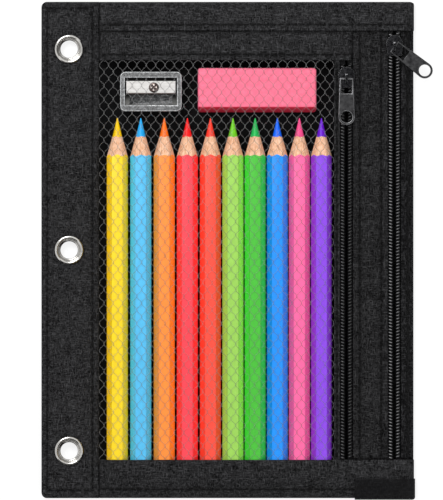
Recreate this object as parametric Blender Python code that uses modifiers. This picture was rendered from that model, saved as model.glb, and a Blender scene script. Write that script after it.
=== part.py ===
"""Zipped pencil pouch for a ring binder, full of coloured pencils.

The pouch lies on its back: +X is the photo's right, +Y its top and +Z its front.
The origin is the middle of the back panel's outer face. Lengths are in metres.
"""
import math

import bmesh
import bpy
from mathutils import Matrix

COLLECTION_NAME = "pencil_pouch"
MERGE_DISTANCE = 0.000001

# Overall size, and the gap that sewn and seated pieces keep
POUCH_WIDTH = 0.2000
POUCH_HEIGHT = 0.2668
FIT_GAP = 0.0003

# Thickness of each cloth
SHELL_FABRIC = 0.0007
BACK_FABRIC = 0.0008
MIDDLE_FABRIC = 0.0006
NET_THICKNESS = 0.0005
TAPE_THICKNESS = 0.0005
LABEL_THICKNESS = 0.0006

# Widths of the bands that show from the front
SPINE_WIDTH = 0.0310
TOP_BINDING_WIDTH = 0.0154
WINDOW_BAND_WIDTH = 0.0162
BOTTOM_BAND_WIDTH = 0.0208
SIDE_BAND_WIDTH = 0.0033
LABEL_WIDTH = 0.0325
LABEL_HEIGHT = 0.0103

# The pressed seam round the edge, and the crown of the filled pockets
EDGE_HEIGHT = 0.0046
SEAM_HEIGHT = 0.0051
RIM_DEPTH = 0.0022
RIM_SHARES = ((0.0, 0.0), (0.0, 0.55), (0.5, 0.95))
SHOULDER_SHARE = 1.25
END_LEDGE = 0.0019
END_STEPS = 4
SEAM_LIFT = 0.0019
SEAM_LANDING = 0.0010
SEAM_LIFT_WIDTH = 0.0036
SEAM_LIFT_STEPS = 2

# Spine: a folded sleeve round a plastic strip. The room beyond the outer eyelets leaves
# a three-ring binder's pitch between neighbours, 107.95 mm
SPINE_CORNER = 0.0030
SPINE_BOTTOM = 0.0017
STIFFENER_THICKNESS = 0.0008
STIFFENER_SIDE_ROOM = 0.0030
STIFFENER_END_ROOM = 0.0050
STIFFENER_CORNER = 0.0020
EYELET_FROM_EDGE = 0.0149
EYELET_END_ROOM = 0.02545
EYELET_BORE = 0.0093
EYELET_OUTSIDE = 0.0157
EYELET_WALL = 0.0006
EYELET_HEAD = 0.0012
EYELET_ROLL_WIDTH = 0.0015
EYELET_ROLL_HEIGHT = 0.0005
WASHER_THICKNESS = 0.0006
# Head: share of the way out from the bore, share of the height. Roll: shares of its width and depth
EYELET_HEAD_SHARES = (
    (0.0, 0.15),
    (0.14, 0.4),
    (0.36, 0.45),
    (0.5, 0.82),
    (0.7, 1.0),
    (0.9, 0.8),
    (1.0, 0.35),
)
EYELET_ROLL_SHARES = ((0.0, 0.0), (1.0, 0.0), (1.0, 0.5), (0.67, 1.0), (0.0, 1.0))
EYELET_LIP_SHARE = 0.33
ROUND_STEPS = 20

# Zips: distance from the pouch's right edge, and the level of the tapes
FRONT_ZIP_FROM_RIGHT = 0.0361
MAIN_ZIP_FROM_RIGHT = 0.0103
FRONT_ZIP_LEVEL = 0.0090
MAIN_ZIP_LEVEL = 0.0070
TAPE_LAP = 0.0024
SLOT_WIDTH = 0.0014
ROW_WIDTH = 0.0025
ROW_HEIGHT = 0.0016
TOOTH_PITCH = 0.00519
TOOTH_SHARE = 0.58
TOOTH_TIP_SHARE = 0.36
TOOTH_DEPTH = 0.0015

# Sliders, closed at the top of their zips
SLIDER_LENGTH = 0.0112
SLIDER_WIDTH = 0.0090
SLIDER_PLATE = 0.0008
SLIDER_PLATE_BEVEL = 0.0002
SLIDER_NOSE_SHARES = ((1.0, 0.0), (1.0, 0.24), (0.86, 0.62), (0.55, 0.9), (0.2, 1.0))
SLIDER_TAIL_SHARES = ((0.72, -1.0), (0.86, -0.9), (0.92, -0.4))
FLANGE_INSET = 0.0001
FLANGE_END_SHARE = 0.15
POST_WIDTH = 0.0008
POST_FROM_SHARE = 0.12
POST_TO_SHARE = 0.84
BRIDGE_WIDTH = 0.0012
BRIDGE_THICKNESS = 0.0007
BRIDGE_SPAN = 0.0048
BRIDGE_HEIGHT = 0.0019
BRIDGE_SETBACK = 0.0008
BRIDGE_STEPS = 6
FRONT_SLIDER_FROM_BAND = 0.0091
MAIN_SLIDER_FROM_BAND = 0.0082

# Pulls: a flat tab with a window for the bridge and a ring end
HINGE_HEIGHT = 0.00095
PULL_THICKNESS = 0.0009
PULL_BAR = 0.0009
PULL_BEVEL = 0.0002
PULL_NECK_WIDTH = 0.0073
PULL_WINDOW_WIDTH = 0.0058
PULL_WINDOW_LENGTH = 0.0075
PULL_RING_DISTANCE = 0.0205
PULL_RING_WIDTH = 0.0087
PULL_RING_HOLE = 0.0063
PULL_RING_STEPS = 20
MAIN_PULL_TURN = math.radians(52.0)

# Net: holes across and along the window, coarser than the real net
NET_COLUMNS = 9
NET_ROWS = 22
NET_STRAND = 0.0012
NET_MARGIN = 0.0016
NET_WALL_SHARE = 0.34

# Pencils, side by side with their points to the top: they fill the window's width.
# What play is left lies mostly between the first ones, in shares from the left
PENCIL_COLOURS = (
    ("yellow", (0.87, 0.66, 0.02)),
    ("sky_blue", (0.10, 0.52, 0.86)),
    ("orange", (0.95, 0.27, 0.04)),
    ("coral", (0.95, 0.06, 0.10)),
    ("red", (0.93, 0.08, 0.05)),
    ("light_green", (0.36, 0.68, 0.10)),
    ("green", (0.07, 0.52, 0.05)),
    ("blue", (0.01, 0.28, 0.88)),
    ("pink", (0.95, 0.11, 0.38)),
    ("purple", (0.27, 0.06, 0.78)),
)
PENCIL_PLAY = 0.0061
PENCIL_PLAY_SHARES = (0.179, 0.179, 0.146, 0.146, 0.098, 0.073, 0.065, 0.057, 0.057)
PENCIL_SIDE_ROOM = 0.0041
PENCIL_FAR_ROOM = 0.00086
PENCIL_TUCK = 0.0015
PENCIL_TIP_ROOM = 0.0028
PENCIL_POINT_LENGTH = 0.0101
PENCIL_POINT_WIDTH = 0.0055
PENCIL_TIP_WIDTH = 0.0003
PENCIL_SOCKET_DEPTH = 0.0060
PENCIL_CREST_ROOM = 0.0012
PENCIL_STEPS = 18
LEAD_STEPS = 12

# Eraser and sharpener, in the top of the front pocket
ERASER_WIDTH = 0.0240
ERASER_HEIGHT = 0.0100
ERASER_ROUNDING = 0.0012
ERASER_ROUNDING_STEPS = 2
ERASER_FROM_WINDOW = 0.0041
ERASER_FROM_SHARPENER = 0.0087
ERASER_FROM_SIDE = 0.0094
SHARPENER_LENGTH = 0.0330
SHARPENER_WIDTH = 0.0212
SHARPENER_HEIGHT = 0.0094
SHARPENER_CORNER = 0.0027
SHARPENER_WALL = 0.0025
SHARPENER_SILL = 0.0032
SHARPENER_RECESS = 0.0016
SHARPENER_FROM_WINDOW = 0.0061
SHARPENER_FROM_SEAM = 0.0114
SHARPENER_BORE_MOUTH = 0.0070
SHARPENER_BORE_END = 0.0022
SHARPENER_BORE_END_WALL = 0.0060
SHARPENER_BORE_RISE = 0.0043
CHIP_SHELF = 0.0005
BLADE_HIGH_ROOM = 0.0018
BLADE_END_ROOM = 0.00085
BLADE_WIDTH = 0.0070
BLADE_THICKNESS = 0.0006
SCREW_HEAD_WIDTH = 0.0054
SCREW_HEAD_HEIGHT = 0.0008
SCREW_HEAD_SHARES = ((1.0, 0.0), (1.0, 0.5), (0.75, 1.0), (0.0, 1.0))
SCREW_SHANK = 0.0020
SCREW_LENGTH = 0.0040
SCREW_OFFSET = 0.0016
CUT_OVERRUN = 0.0020

# Places that follow from the sizes above
LEFT = -POUCH_WIDTH / 2
RIGHT = POUCH_WIDTH / 2
TOP = POUCH_HEIGHT / 2
BOTTOM = -POUCH_HEIGHT / 2
HALF_GAP = FIT_GAP / 2
SPINE_SEAM = LEFT + SPINE_WIDTH
BINDING_EDGE = TOP - TOP_BINDING_WIDTH
WINDOW_TOP = BINDING_EDGE - WINDOW_BAND_WIDTH
WINDOW_BOTTOM = BOTTOM + BOTTOM_BAND_WIDTH
SPINE_TOP = SPINE_BOTTOM + 2 * SHELL_FABRIC + 2 * FIT_GAP + STIFFENER_THICKNESS
EYELET_X = LEFT + EYELET_FROM_EDGE
EYELET_PITCH = TOP - EYELET_END_ROOM
EYELET_HOLE = EYELET_BORE + 2 * EYELET_WALL + 2 * FIT_GAP

CHANNEL_HALF = SLOT_WIDTH / 2 + ROW_WIDTH + FIT_GAP
FRONT_ZIP_X = RIGHT - FRONT_ZIP_FROM_RIGHT
MAIN_ZIP_X = RIGHT - MAIN_ZIP_FROM_RIGHT
WINDOW_RIGHT = FRONT_ZIP_X - CHANNEL_HALF - SIDE_BAND_WIDTH
CENTRE_LEFT = FRONT_ZIP_X + CHANNEL_HALF
CENTRE_RIGHT = MAIN_ZIP_X - CHANNEL_HALF
STRIP_LEFT = MAIN_ZIP_X + CHANNEL_HALF
LEDGE = TAPE_LAP + FIT_GAP
ROW_BOTTOM = TAPE_THICKNESS / 2 + FIT_GAP
ROW_TOP = ROW_BOTTOM + ROW_HEIGHT
FABRIC_OVER_TAPE = TAPE_THICKNESS / 2 + FIT_GAP + SHELL_FABRIC
PLATE_BOTTOM = ROW_TOP + FIT_GAP
PLATE_TOP = PLATE_BOTTOM + SLIDER_PLATE

FRONT_SLIDER_Y = WINDOW_TOP - FRONT_SLIDER_FROM_BAND
MAIN_SLIDER_Y = BINDING_EDGE - MAIN_SLIDER_FROM_BAND

SHARPENER_LEFT = SPINE_SEAM + SHARPENER_FROM_SEAM
SHARPENER_RIGHT = SHARPENER_LEFT + SHARPENER_LENGTH
SHARPENER_HIGH = WINDOW_TOP - SHARPENER_FROM_WINDOW
SHARPENER_LOW = SHARPENER_HIGH - SHARPENER_WIDTH
SHARPENER_BORE_LENGTH = SHARPENER_LENGTH - SHARPENER_BORE_END_WALL
RECESS_LOW = SHARPENER_LOW + SHARPENER_SILL
RECESS_HIGH = SHARPENER_HIGH - SHARPENER_SILL
BLADE_LOW = RECESS_HIGH - BLADE_HIGH_ROOM - BLADE_WIDTH
CHIP_MOUTH_WIDTH = BLADE_LOW - CHIP_SHELF - RECESS_LOW - FIT_GAP
BLADE_LEFT = SHARPENER_LEFT + SHARPENER_WALL + BLADE_END_ROOM
BLADE_RIGHT = SHARPENER_RIGHT - SHARPENER_WALL - BLADE_END_ROOM
ERASER_LEFT = SHARPENER_RIGHT + ERASER_FROM_SHARPENER
ERASER_RIGHT = WINDOW_RIGHT - ERASER_FROM_SIDE
ERASER_HIGH = WINDOW_TOP - ERASER_FROM_WINDOW
ERASER_LOW = ERASER_HIGH - ERASER_WIDTH

PENCIL_COUNT = len(PENCIL_COLOURS)
PENCIL_SPAN = WINDOW_RIGHT - PENCIL_FAR_ROOM - SPINE_SEAM - PENCIL_SIDE_ROOM
PENCIL_CORNERS = (PENCIL_SPAN - PENCIL_PLAY) / PENCIL_COUNT
PENCIL_FLATS = PENCIL_CORNERS * math.cos(math.radians(30.0))
PENCIL_LOW = WINDOW_BOTTOM - PENCIL_TUCK
PENCIL_TIP = min(ERASER_LOW, SHARPENER_LOW) - PENCIL_TIP_ROOM
PENCIL_SEAT = BACK_FABRIC + MIDDLE_FABRIC + 2 * FIT_GAP
PENCIL_AXIS_Z = PENCIL_SEAT + PENCIL_FLATS / 2
FIRST_PENCIL_X = SPINE_SEAM + PENCIL_SIDE_ROOM + PENCIL_CORNERS / 2
LAST_PENCIL_X = WINDOW_RIGHT - PENCIL_FAR_ROOM - PENCIL_CORNERS / 2
FILL_HEIGHT = max(PENCIL_FLATS, ERASER_HEIGHT, SHARPENER_HEIGHT)
CROWN = PENCIL_SEAT + FILL_HEIGHT + FIT_GAP + SHELL_FABRIC
MIDDLE_RIGHT = (CENTRE_LEFT + CENTRE_RIGHT) / 2


def clear_scene():
    """Remove every object, so that the script starts from nothing."""
    for old in list(bpy.data.objects):
        bpy.data.objects.remove(old, do_unlink=True)


def new_collection(name):
    collection = bpy.data.collections.new(name)
    bpy.context.scene.collection.children.link(collection)
    return collection


def material(name, colour, roughness, metallic=0.0, alpha=1.0):
    """A Principled material; colour is linear red, green and blue."""
    surface = bpy.data.materials.new(name)
    surface.use_nodes = True
    shader = surface.node_tree.nodes["Principled BSDF"]
    shader.inputs["Base Color"].default_value = (*colour, 1.0)
    shader.inputs["Roughness"].default_value = roughness
    shader.inputs["Metallic"].default_value = metallic
    shader.inputs["Alpha"].default_value = alpha
    return surface


def place_mesh(name, mesh, surface):
    """Link a mesh to the part's collection under its node's name."""
    piece = bpy.data.objects.new(name, mesh)
    PARTS.objects.link(piece)
    if surface is not None:
        if not mesh.materials:
            mesh.materials.append(surface)
        piece.material_slots[0].link = "OBJECT"
        piece.material_slots[0].material = surface
    return piece


def mesh_from(shape, name):
    mesh = bpy.data.meshes.new(name)
    shape.to_mesh(mesh)
    shape.free()
    return mesh


def use_as_cutter(piece):
    """Move a helper solid to the cutters, where it is drawn as wires and not rendered."""
    PARTS.objects.unlink(piece)
    CUTTERS.objects.link(piece)
    piece.hide_render = True
    piece.display_type = "WIRE"


def combine(piece, tool, operation):
    """Cut, join or intersect a piece with a helper solid."""
    step = piece.modifiers.new(operation.lower(), "BOOLEAN")
    step.operation = operation
    step.object = tool
    step.solver = "EXACT"
    use_as_cutter(tool)


def settled_mesh(piece):
    """The piece's mesh with its modifiers applied, for copies to share."""
    bpy.context.view_layer.update()
    evaluated = piece.evaluated_get(bpy.context.evaluated_depsgraph_get())
    return bpy.data.meshes.new_from_object(evaluated)


def flat_plate(name, outline, low, high, surface=None):
    """A flat plate: one outline, filled and raised from low to high."""
    shape = bmesh.new()
    points = [shape.verts.new((x, y, low)) for x, y in outline]
    base = shape.faces.new(points)
    raised = bmesh.ops.extrude_face_region(shape, geom=[base])
    top = [part for part in raised["geom"] if isinstance(part, bmesh.types.BMVert)]
    bmesh.ops.translate(shape, verts=top, vec=(0.0, 0.0, high - low))
    bmesh.ops.recalc_face_normals(shape, faces=shape.faces)
    return place_mesh(name, mesh_from(shape, name), surface)


def punched_plate(name, outlines, low, high, surface=None):
    """A flat plate with holes: a filled curve, whose first outline is the edge."""
    curve = bpy.data.curves.new(name, "CURVE")
    curve.dimensions = "2D"
    curve.fill_mode = "BOTH"
    curve.extrude = (high - low) / 2
    for outline in outlines:
        spline = curve.splines.new("POLY")
        spline.points.add(len(outline) - 1)
        for point, (x, y) in zip(spline.points, outline):
            point.co = (x, y, 0.0, 1.0)
        spline.use_cyclic_u = True
    holder = bpy.data.objects.new(name, curve)
    PARTS.objects.link(holder)
    mesh = settled_mesh(holder)
    bpy.data.objects.remove(holder)
    bpy.data.curves.remove(curve)
    shape = bmesh.new()
    shape.from_mesh(mesh)
    bmesh.ops.remove_doubles(shape, verts=shape.verts, dist=MERGE_DISTANCE)
    bmesh.ops.translate(shape, verts=shape.verts, vec=(0.0, 0.0, (low + high) / 2))
    shape.to_mesh(mesh)
    shape.free()
    mesh.name = name
    return place_mesh(name, mesh, surface)


def block(name, x_range, y_range, z_range, surface=None):
    """A cuboid between the given ends."""
    shape = bmesh.new()
    bmesh.ops.create_cube(shape, size=1.0)
    sizes = [end - start for start, end in (x_range, y_range, z_range)]
    middle = [(end + start) / 2 for start, end in (x_range, y_range, z_range)]
    bmesh.ops.scale(shape, verts=shape.verts, vec=sizes)
    bmesh.ops.translate(shape, verts=shape.verts, vec=middle)
    return place_mesh(name, mesh_from(shape, name), surface)


def rod(name, radius, low, high, surface=None, end_radius=None, steps=ROUND_STEPS):
    """A cylinder or a cone on the Z axis."""
    shape = bmesh.new()
    bmesh.ops.create_cone(
        shape,
        cap_ends=True,
        segments=steps,
        radius1=radius,
        radius2=radius if end_radius is None else end_radius,
        depth=high - low,
    )
    bmesh.ops.translate(shape, verts=shape.verts, vec=(0.0, 0.0, (low + high) / 2))
    return place_mesh(name, mesh_from(shape, name), surface)


def turned(name, profile, steps, surface=None):
    """Turn a closed profile of (radius, height) points round Z."""
    shape = bmesh.new()
    points = [shape.verts.new((radius, 0.0, height)) for radius, height in profile]
    for first, second in zip(points, points[1:] + points[:1]):
        shape.edges.new((first, second))
    bmesh.ops.spin(
        shape,
        geom=shape.verts[:] + shape.edges[:],
        cent=(0.0, 0.0, 0.0),
        axis=(0.0, 0.0, 1.0),
        angle=math.tau,
        steps=steps,
        use_merge=True,
    )
    bmesh.ops.remove_doubles(shape, verts=shape.verts, dist=MERGE_DISTANCE)
    bmesh.ops.recalc_face_normals(shape, faces=shape.faces)
    return place_mesh(name, mesh_from(shape, name), surface)


def rounded_rectangle(x_range, y_range, radius, steps=4, right_corners=True):
    """The outline of a rectangle with rounded corners, anticlockwise."""
    left, right = x_range
    low, high = y_range
    corners = (
        (left, low, 1, 1, math.pi, radius),
        (right, low, -1, 1, math.pi * 1.5, radius if right_corners else 0.0),
        (right, high, -1, -1, 0.0, radius if right_corners else 0.0),
        (left, high, 1, -1, math.pi / 2, radius),
    )
    outline = []
    for x, y, side, up, start, size in corners:
        if size == 0.0:
            outline.append((x, y))
            continue
        for step in range(steps + 1):
            angle = start + step * math.pi / 2 / steps
            outline.append(
                (x + side * size + size * math.cos(angle), y + up * size + size * math.sin(angle))
            )
    return outline


def circle(x, y, radius, steps):
    turns = [step * math.tau / steps for step in range(steps)]
    return [(x + radius * math.cos(turn), y + radius * math.sin(turn)) for turn in turns]


def between(start, end, share):
    return start + (end - start) * share


def spread(start, end, steps):
    return [between(start, end, step / steps) for step in range(steps + 1)]


def front_knots():
    """Where the front cloth bends across the pouch: each place and its height."""
    slope = math.radians(30.0)
    left_corner = FIRST_PENCIL_X - PENCIL_CORNERS / 2
    foot_x = left_corner - PENCIL_CREST_ROOM * math.cos(slope)
    foot_z = PENCIL_AXIS_Z + PENCIL_CREST_ROOM * math.sin(slope)
    crown_x = foot_x + (CROWN - foot_z) * math.tan(slope)
    front_ledge = FRONT_ZIP_LEVEL + FABRIC_OVER_TAPE
    main_ledge = MAIN_ZIP_LEVEL + FABRIC_OVER_TAPE
    return (
        (SPINE_SEAM, SEAM_HEIGHT),
        (foot_x, foot_z),
        (crown_x, CROWN),
        (LAST_PENCIL_X + PENCIL_CORNERS / 4, CROWN),
        (WINDOW_RIGHT, front_ledge),
        (CENTRE_LEFT + LEDGE, front_ledge),
        (CENTRE_RIGHT - LEDGE, main_ledge),
        (STRIP_LEFT + LEDGE, main_ledge),
        (RIGHT - RIM_DEPTH, EDGE_HEIGHT * SHOULDER_SHARE),
        (RIGHT, EDGE_HEIGHT),
    )


def read_knots(knots, x):
    """The height at x on the straight lines between knots."""
    if x <= knots[0][0]:
        return knots[0][1]
    for (x_low, z_low), (x_high, z_high) in zip(knots, knots[1:]):
        if x <= x_high:
            return between(z_low, z_high, (x - x_low) / (x_high - x_low))
    return knots[-1][1]


def fullness(x, y):
    """How full the pouch is along its height: 1 in the middle, 0 at the pressed ends."""
    share = min(max((x - CENTRE_LEFT) / (CENTRE_RIGHT - CENTRE_LEFT), 0.0), 1.0)
    top_start = between(WINDOW_TOP, BINDING_EDGE, share) + END_LEDGE
    bottom_start = WINDOW_BOTTOM - END_LEDGE
    if y > top_start:
        along = (y - top_start) / (TOP - RIM_DEPTH - top_start)
    elif y < bottom_start:
        along = (bottom_start - y) / (bottom_start - BOTTOM - RIM_DEPTH)
    else:
        return 1.0
    return 1.0 - min(along, 1.0) ** 2


def front_height(x, y):
    """Height of the front cloth's outer face."""
    full = read_knots(front_knots(), x)
    return EDGE_HEIGHT + (full - EDGE_HEIGHT) * fullness(x, y)


def seam_lift(x):
    """How far the back cloths rise to reach the spine's seam, level for a landing beside it."""
    share = 1.0 - (x - SPINE_SEAM - SEAM_LANDING) / SEAM_LIFT_WIDTH
    return SEAM_LIFT * min(max(share, 0.0), 1.0) ** 2


def back_height(x, y):
    return BACK_FABRIC + seam_lift(x)


def middle_height(x, y):
    """Height of the middle panel's upper face: flat under the pencils, then up to the centre band."""
    low = BACK_FABRIC + FIT_GAP + MIDDLE_FABRIC
    top = read_knots(front_knots(), MIDDLE_RIGHT) - SHELL_FABRIC - 2 * FIT_GAP
    share = max((x - WINDOW_RIGHT) / (MIDDLE_RIGHT - WINDOW_RIGHT), 0.0)
    return low + seam_lift(x) + (top - low) * share * fullness(x, y)


def plain(places):
    """Rows of a sheet that only follow its height function."""
    return [(place, None) for place in places]


def cross_stations(start, end):
    """Places across the pouch from start to end, with a row at each bend of the front cloth."""
    bends = [x for x, _ in front_knots() if start + FIT_GAP < x < end - FIT_GAP]
    return plain([start, *bends, end])


def rim_stations(edge, direction, lift=0.0):
    """Rows that carry a cloth over the pouch's edge and down to the back, from the inside out."""
    rows = []
    for inset, rise in reversed(RIM_SHARES):
        place = edge + direction * (lift - inset * RIM_DEPTH)
        rows.append((place, rise * EDGE_HEIGHT + (lift if rise > 0.0 else lift / 2)))
    return rows


def sheet(name, x_stations, y_stations, height, thickness, surface, lift=0.0):
    """A cloth piece: a grid laid on a height function, with its thickness below it."""
    shape = bmesh.new()
    bmesh.ops.create_grid(
        shape,
        x_segments=len(x_stations) - 1,
        y_segments=len(y_stations) - 1,
        size=1.0,
    )
    columns = len(x_stations)
    for vert in shape.verts:
        column = round((vert.co.x + 1.0) / 2 * (columns - 1))
        row = round((vert.co.y + 1.0) / 2 * (len(y_stations) - 1))
        x, x_cap = x_stations[column]
        y, y_cap = y_stations[row]
        caps = [cap for cap in (x_cap, y_cap) if cap is not None]
        vert.co = (x, y, min([height(x, y) + lift, *caps]))
    bmesh.ops.remove_doubles(shape, verts=shape.verts, dist=MERGE_DISTANCE)
    bmesh.ops.dissolve_degenerate(shape, edges=shape.edges, dist=MERGE_DISTANCE)
    piece = place_mesh(name, mesh_from(shape, name), surface)
    wall = piece.modifiers.new("cloth", "SOLIDIFY")
    wall.thickness = thickness
    wall.offset = -1.0
    wall.use_even_offset = True
    return piece


def build_panels(fabric):
    """The back panel, the wall between the pockets and every band of the front."""
    left = SPINE_SEAM + HALF_GAP
    inside = SHELL_FABRIC + FIT_GAP
    landing = SPINE_SEAM + SEAM_LANDING
    lift_rows = [left, *spread(landing, landing + SEAM_LIFT_WIDTH, SEAM_LIFT_STEPS)]
    back_top = TOP - inside
    sheet(
        "back_panel",
        plain([*lift_rows, RIGHT - inside]),
        plain([-back_top, back_top]),
        back_height,
        BACK_FABRIC,
        fabric,
    )

    middle_top = TOP - RIM_DEPTH - FIT_GAP
    full_rows = [WINDOW_BOTTOM - END_LEDGE, WINDOW_TOP + END_LEDGE]
    middle_rows = [
        *spread(-middle_top, full_rows[0], END_STEPS),
        *spread(full_rows[1], middle_top, END_STEPS),
    ]
    sheet(
        "middle_panel",
        plain([*lift_rows, WINDOW_RIGHT, MIDDLE_RIGHT]),
        plain(middle_rows),
        middle_height,
        MIDDLE_FABRIC,
        fabric,
    )

    right_rim = rim_stations(RIGHT, 1)
    across = [*cross_stations(left, RIGHT - RIM_DEPTH), *right_rim]
    top_rows = spread(BINDING_EDGE + HALF_GAP, TOP - RIM_DEPTH, END_STEPS)
    sheet(
        "top_binding",
        across,
        [*plain(top_rows), *rim_stations(TOP, 1)],
        front_height,
        SHELL_FABRIC,
        fabric,
    )
    bottom_rows = spread(BOTTOM + RIM_DEPTH, WINDOW_BOTTOM - END_LEDGE, END_STEPS)
    sheet(
        "bottom_band",
        across,
        [
            *reversed(rim_stations(BOTTOM, -1)),
            *plain([*bottom_rows, WINDOW_BOTTOM - HALF_GAP]),
        ],
        front_height,
        SHELL_FABRIC,
        fabric,
    )
    band_rows = spread(WINDOW_TOP + END_LEDGE, BINDING_EDGE - HALF_GAP, END_STEPS)
    sheet(
        "window_top_band",
        cross_stations(left, CENTRE_LEFT - HALF_GAP),
        plain([WINDOW_TOP + HALF_GAP, *band_rows]),
        front_height,
        SHELL_FABRIC,
        fabric,
    )
    window_rows = plain([WINDOW_BOTTOM + HALF_GAP, WINDOW_TOP - HALF_GAP])
    sheet(
        "window_side_band",
        plain([WINDOW_RIGHT + HALF_GAP, FRONT_ZIP_X - CHANNEL_HALF]),
        window_rows,
        front_height,
        SHELL_FABRIC,
        fabric,
    )
    sheet(
        "centre_band",
        cross_stations(CENTRE_LEFT + HALF_GAP, CENTRE_RIGHT),
        plain([WINDOW_BOTTOM + HALF_GAP, *band_rows]),
        front_height,
        SHELL_FABRIC,
        fabric,
    )
    sheet(
        "right_strip",
        [*cross_stations(STRIP_LEFT, RIGHT - RIM_DEPTH), *right_rim],
        plain([WINDOW_BOTTOM + HALF_GAP, BINDING_EDGE - HALF_GAP]),
        front_height,
        SHELL_FABRIC,
        fabric,
    )


def build_label(surface):
    """The bare sewn label, folded over the bottom right corner."""
    lift = FIT_GAP + LABEL_THICKNESS
    label_left = RIGHT + lift - LABEL_WIDTH
    label_top = BOTTOM + LABEL_HEIGHT
    rows = spread(BOTTOM + RIM_DEPTH, label_top, END_STEPS)
    sheet(
        "label_tag",
        [*cross_stations(label_left, RIGHT - RIM_DEPTH), *rim_stations(RIGHT, 1, lift)],
        [*reversed(rim_stations(BOTTOM, -1, lift)), *plain(rows)],
        front_height,
        LABEL_THICKNESS,
        surface,
        lift,
    )


def slice_across(mesh, x_range, name, surface):
    """The part of a mesh between two upright planes across X, closed where it is cut."""
    shape = bmesh.new()
    shape.from_mesh(mesh)
    for place, facing in zip(x_range, (-1.0, 1.0)):
        bmesh.ops.bisect_plane(
            shape,
            geom=shape.verts[:] + shape.edges[:] + shape.faces[:],
            dist=MERGE_DISTANCE,
            plane_co=(place, 0.0, 0.0),
            plane_no=(facing, 0.0, 0.0),
            clear_outer=True,
        )
        open_edges = [edge for edge in shape.edges if edge.is_boundary]
        bmesh.ops.holes_fill(shape, edges=open_edges, sides=0)
    return place_mesh(name, mesh_from(shape, name), surface)


def build_net(surface):
    """The window's net: rows of six-sided holes, every other row half a hole along.

    It is one net, in three pieces that meet where it bends down to the spine and to the zip.
    """
    left = SPINE_SEAM + HALF_GAP
    right = WINDOW_RIGHT - HALF_GAP
    low = WINDOW_BOTTOM + HALF_GAP
    high = WINDOW_TOP - HALF_GAP
    pitch_x = (right - left - 2 * NET_MARGIN) / (NET_COLUMNS + 0.5)
    pitch_y = (high - low - 2 * NET_MARGIN) / (NET_ROWS + NET_WALL_SHARE / 2)
    half_wide = (pitch_x - NET_STRAND) / 2
    point = pitch_y * (1.0 + NET_WALL_SHARE / 2) / 2 - NET_STRAND / 2
    wall = pitch_y * NET_WALL_SHARE / 2 - NET_STRAND / 4
    outlines = [[(left, low), (right, low), (right, high), (left, high)]]
    for row in range(NET_ROWS):
        y = low + NET_MARGIN + pitch_y * (row + 0.5 + NET_WALL_SHARE / 4)
        start = left + NET_MARGIN + pitch_x * (0.5 if row % 2 == 0 else 1.0)
        for column in range(NET_COLUMNS):
            x = start + column * pitch_x
            outlines.append(
                [
                    (x + half_wide, y - wall),
                    (x + half_wide, y + wall),
                    (x, y + point),
                    (x - half_wide, y + wall),
                    (x - half_wide, y - wall),
                    (x, y - point),
                ]
            )
    net = punched_plate("net_tool", outlines, -NET_THICKNESS, 0.0, surface)
    shape = bmesh.new()
    shape.from_mesh(net.data)
    bends = [x for x, _ in cross_stations(left, right)[1:-1]]
    for bend in bends:
        bmesh.ops.bisect_plane(
            shape,
            geom=shape.verts[:] + shape.edges[:] + shape.faces[:],
            dist=MERGE_DISTANCE,
            plane_co=(bend, 0.0, 0.0),
            plane_no=(1.0, 0.0, 0.0),
        )
    for vert in shape.verts:
        vert.co.z += front_height(vert.co.x, vert.co.y)
    shape.to_mesh(net.data)
    shape.free()
    crown_left, crown_right = bends[-2:]
    slices = (
        ("mesh_window_left_side", left - CUT_OVERRUN, crown_left - HALF_GAP),
        ("mesh_window", crown_left + HALF_GAP, crown_right - HALF_GAP),
        ("mesh_window_right_side", crown_right + HALF_GAP, right + CUT_OVERRUN),
    )
    for name, start, end in slices:
        slice_across(net.data, (start, end), name, surface)
    bpy.data.objects.remove(net, do_unlink=True)


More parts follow.
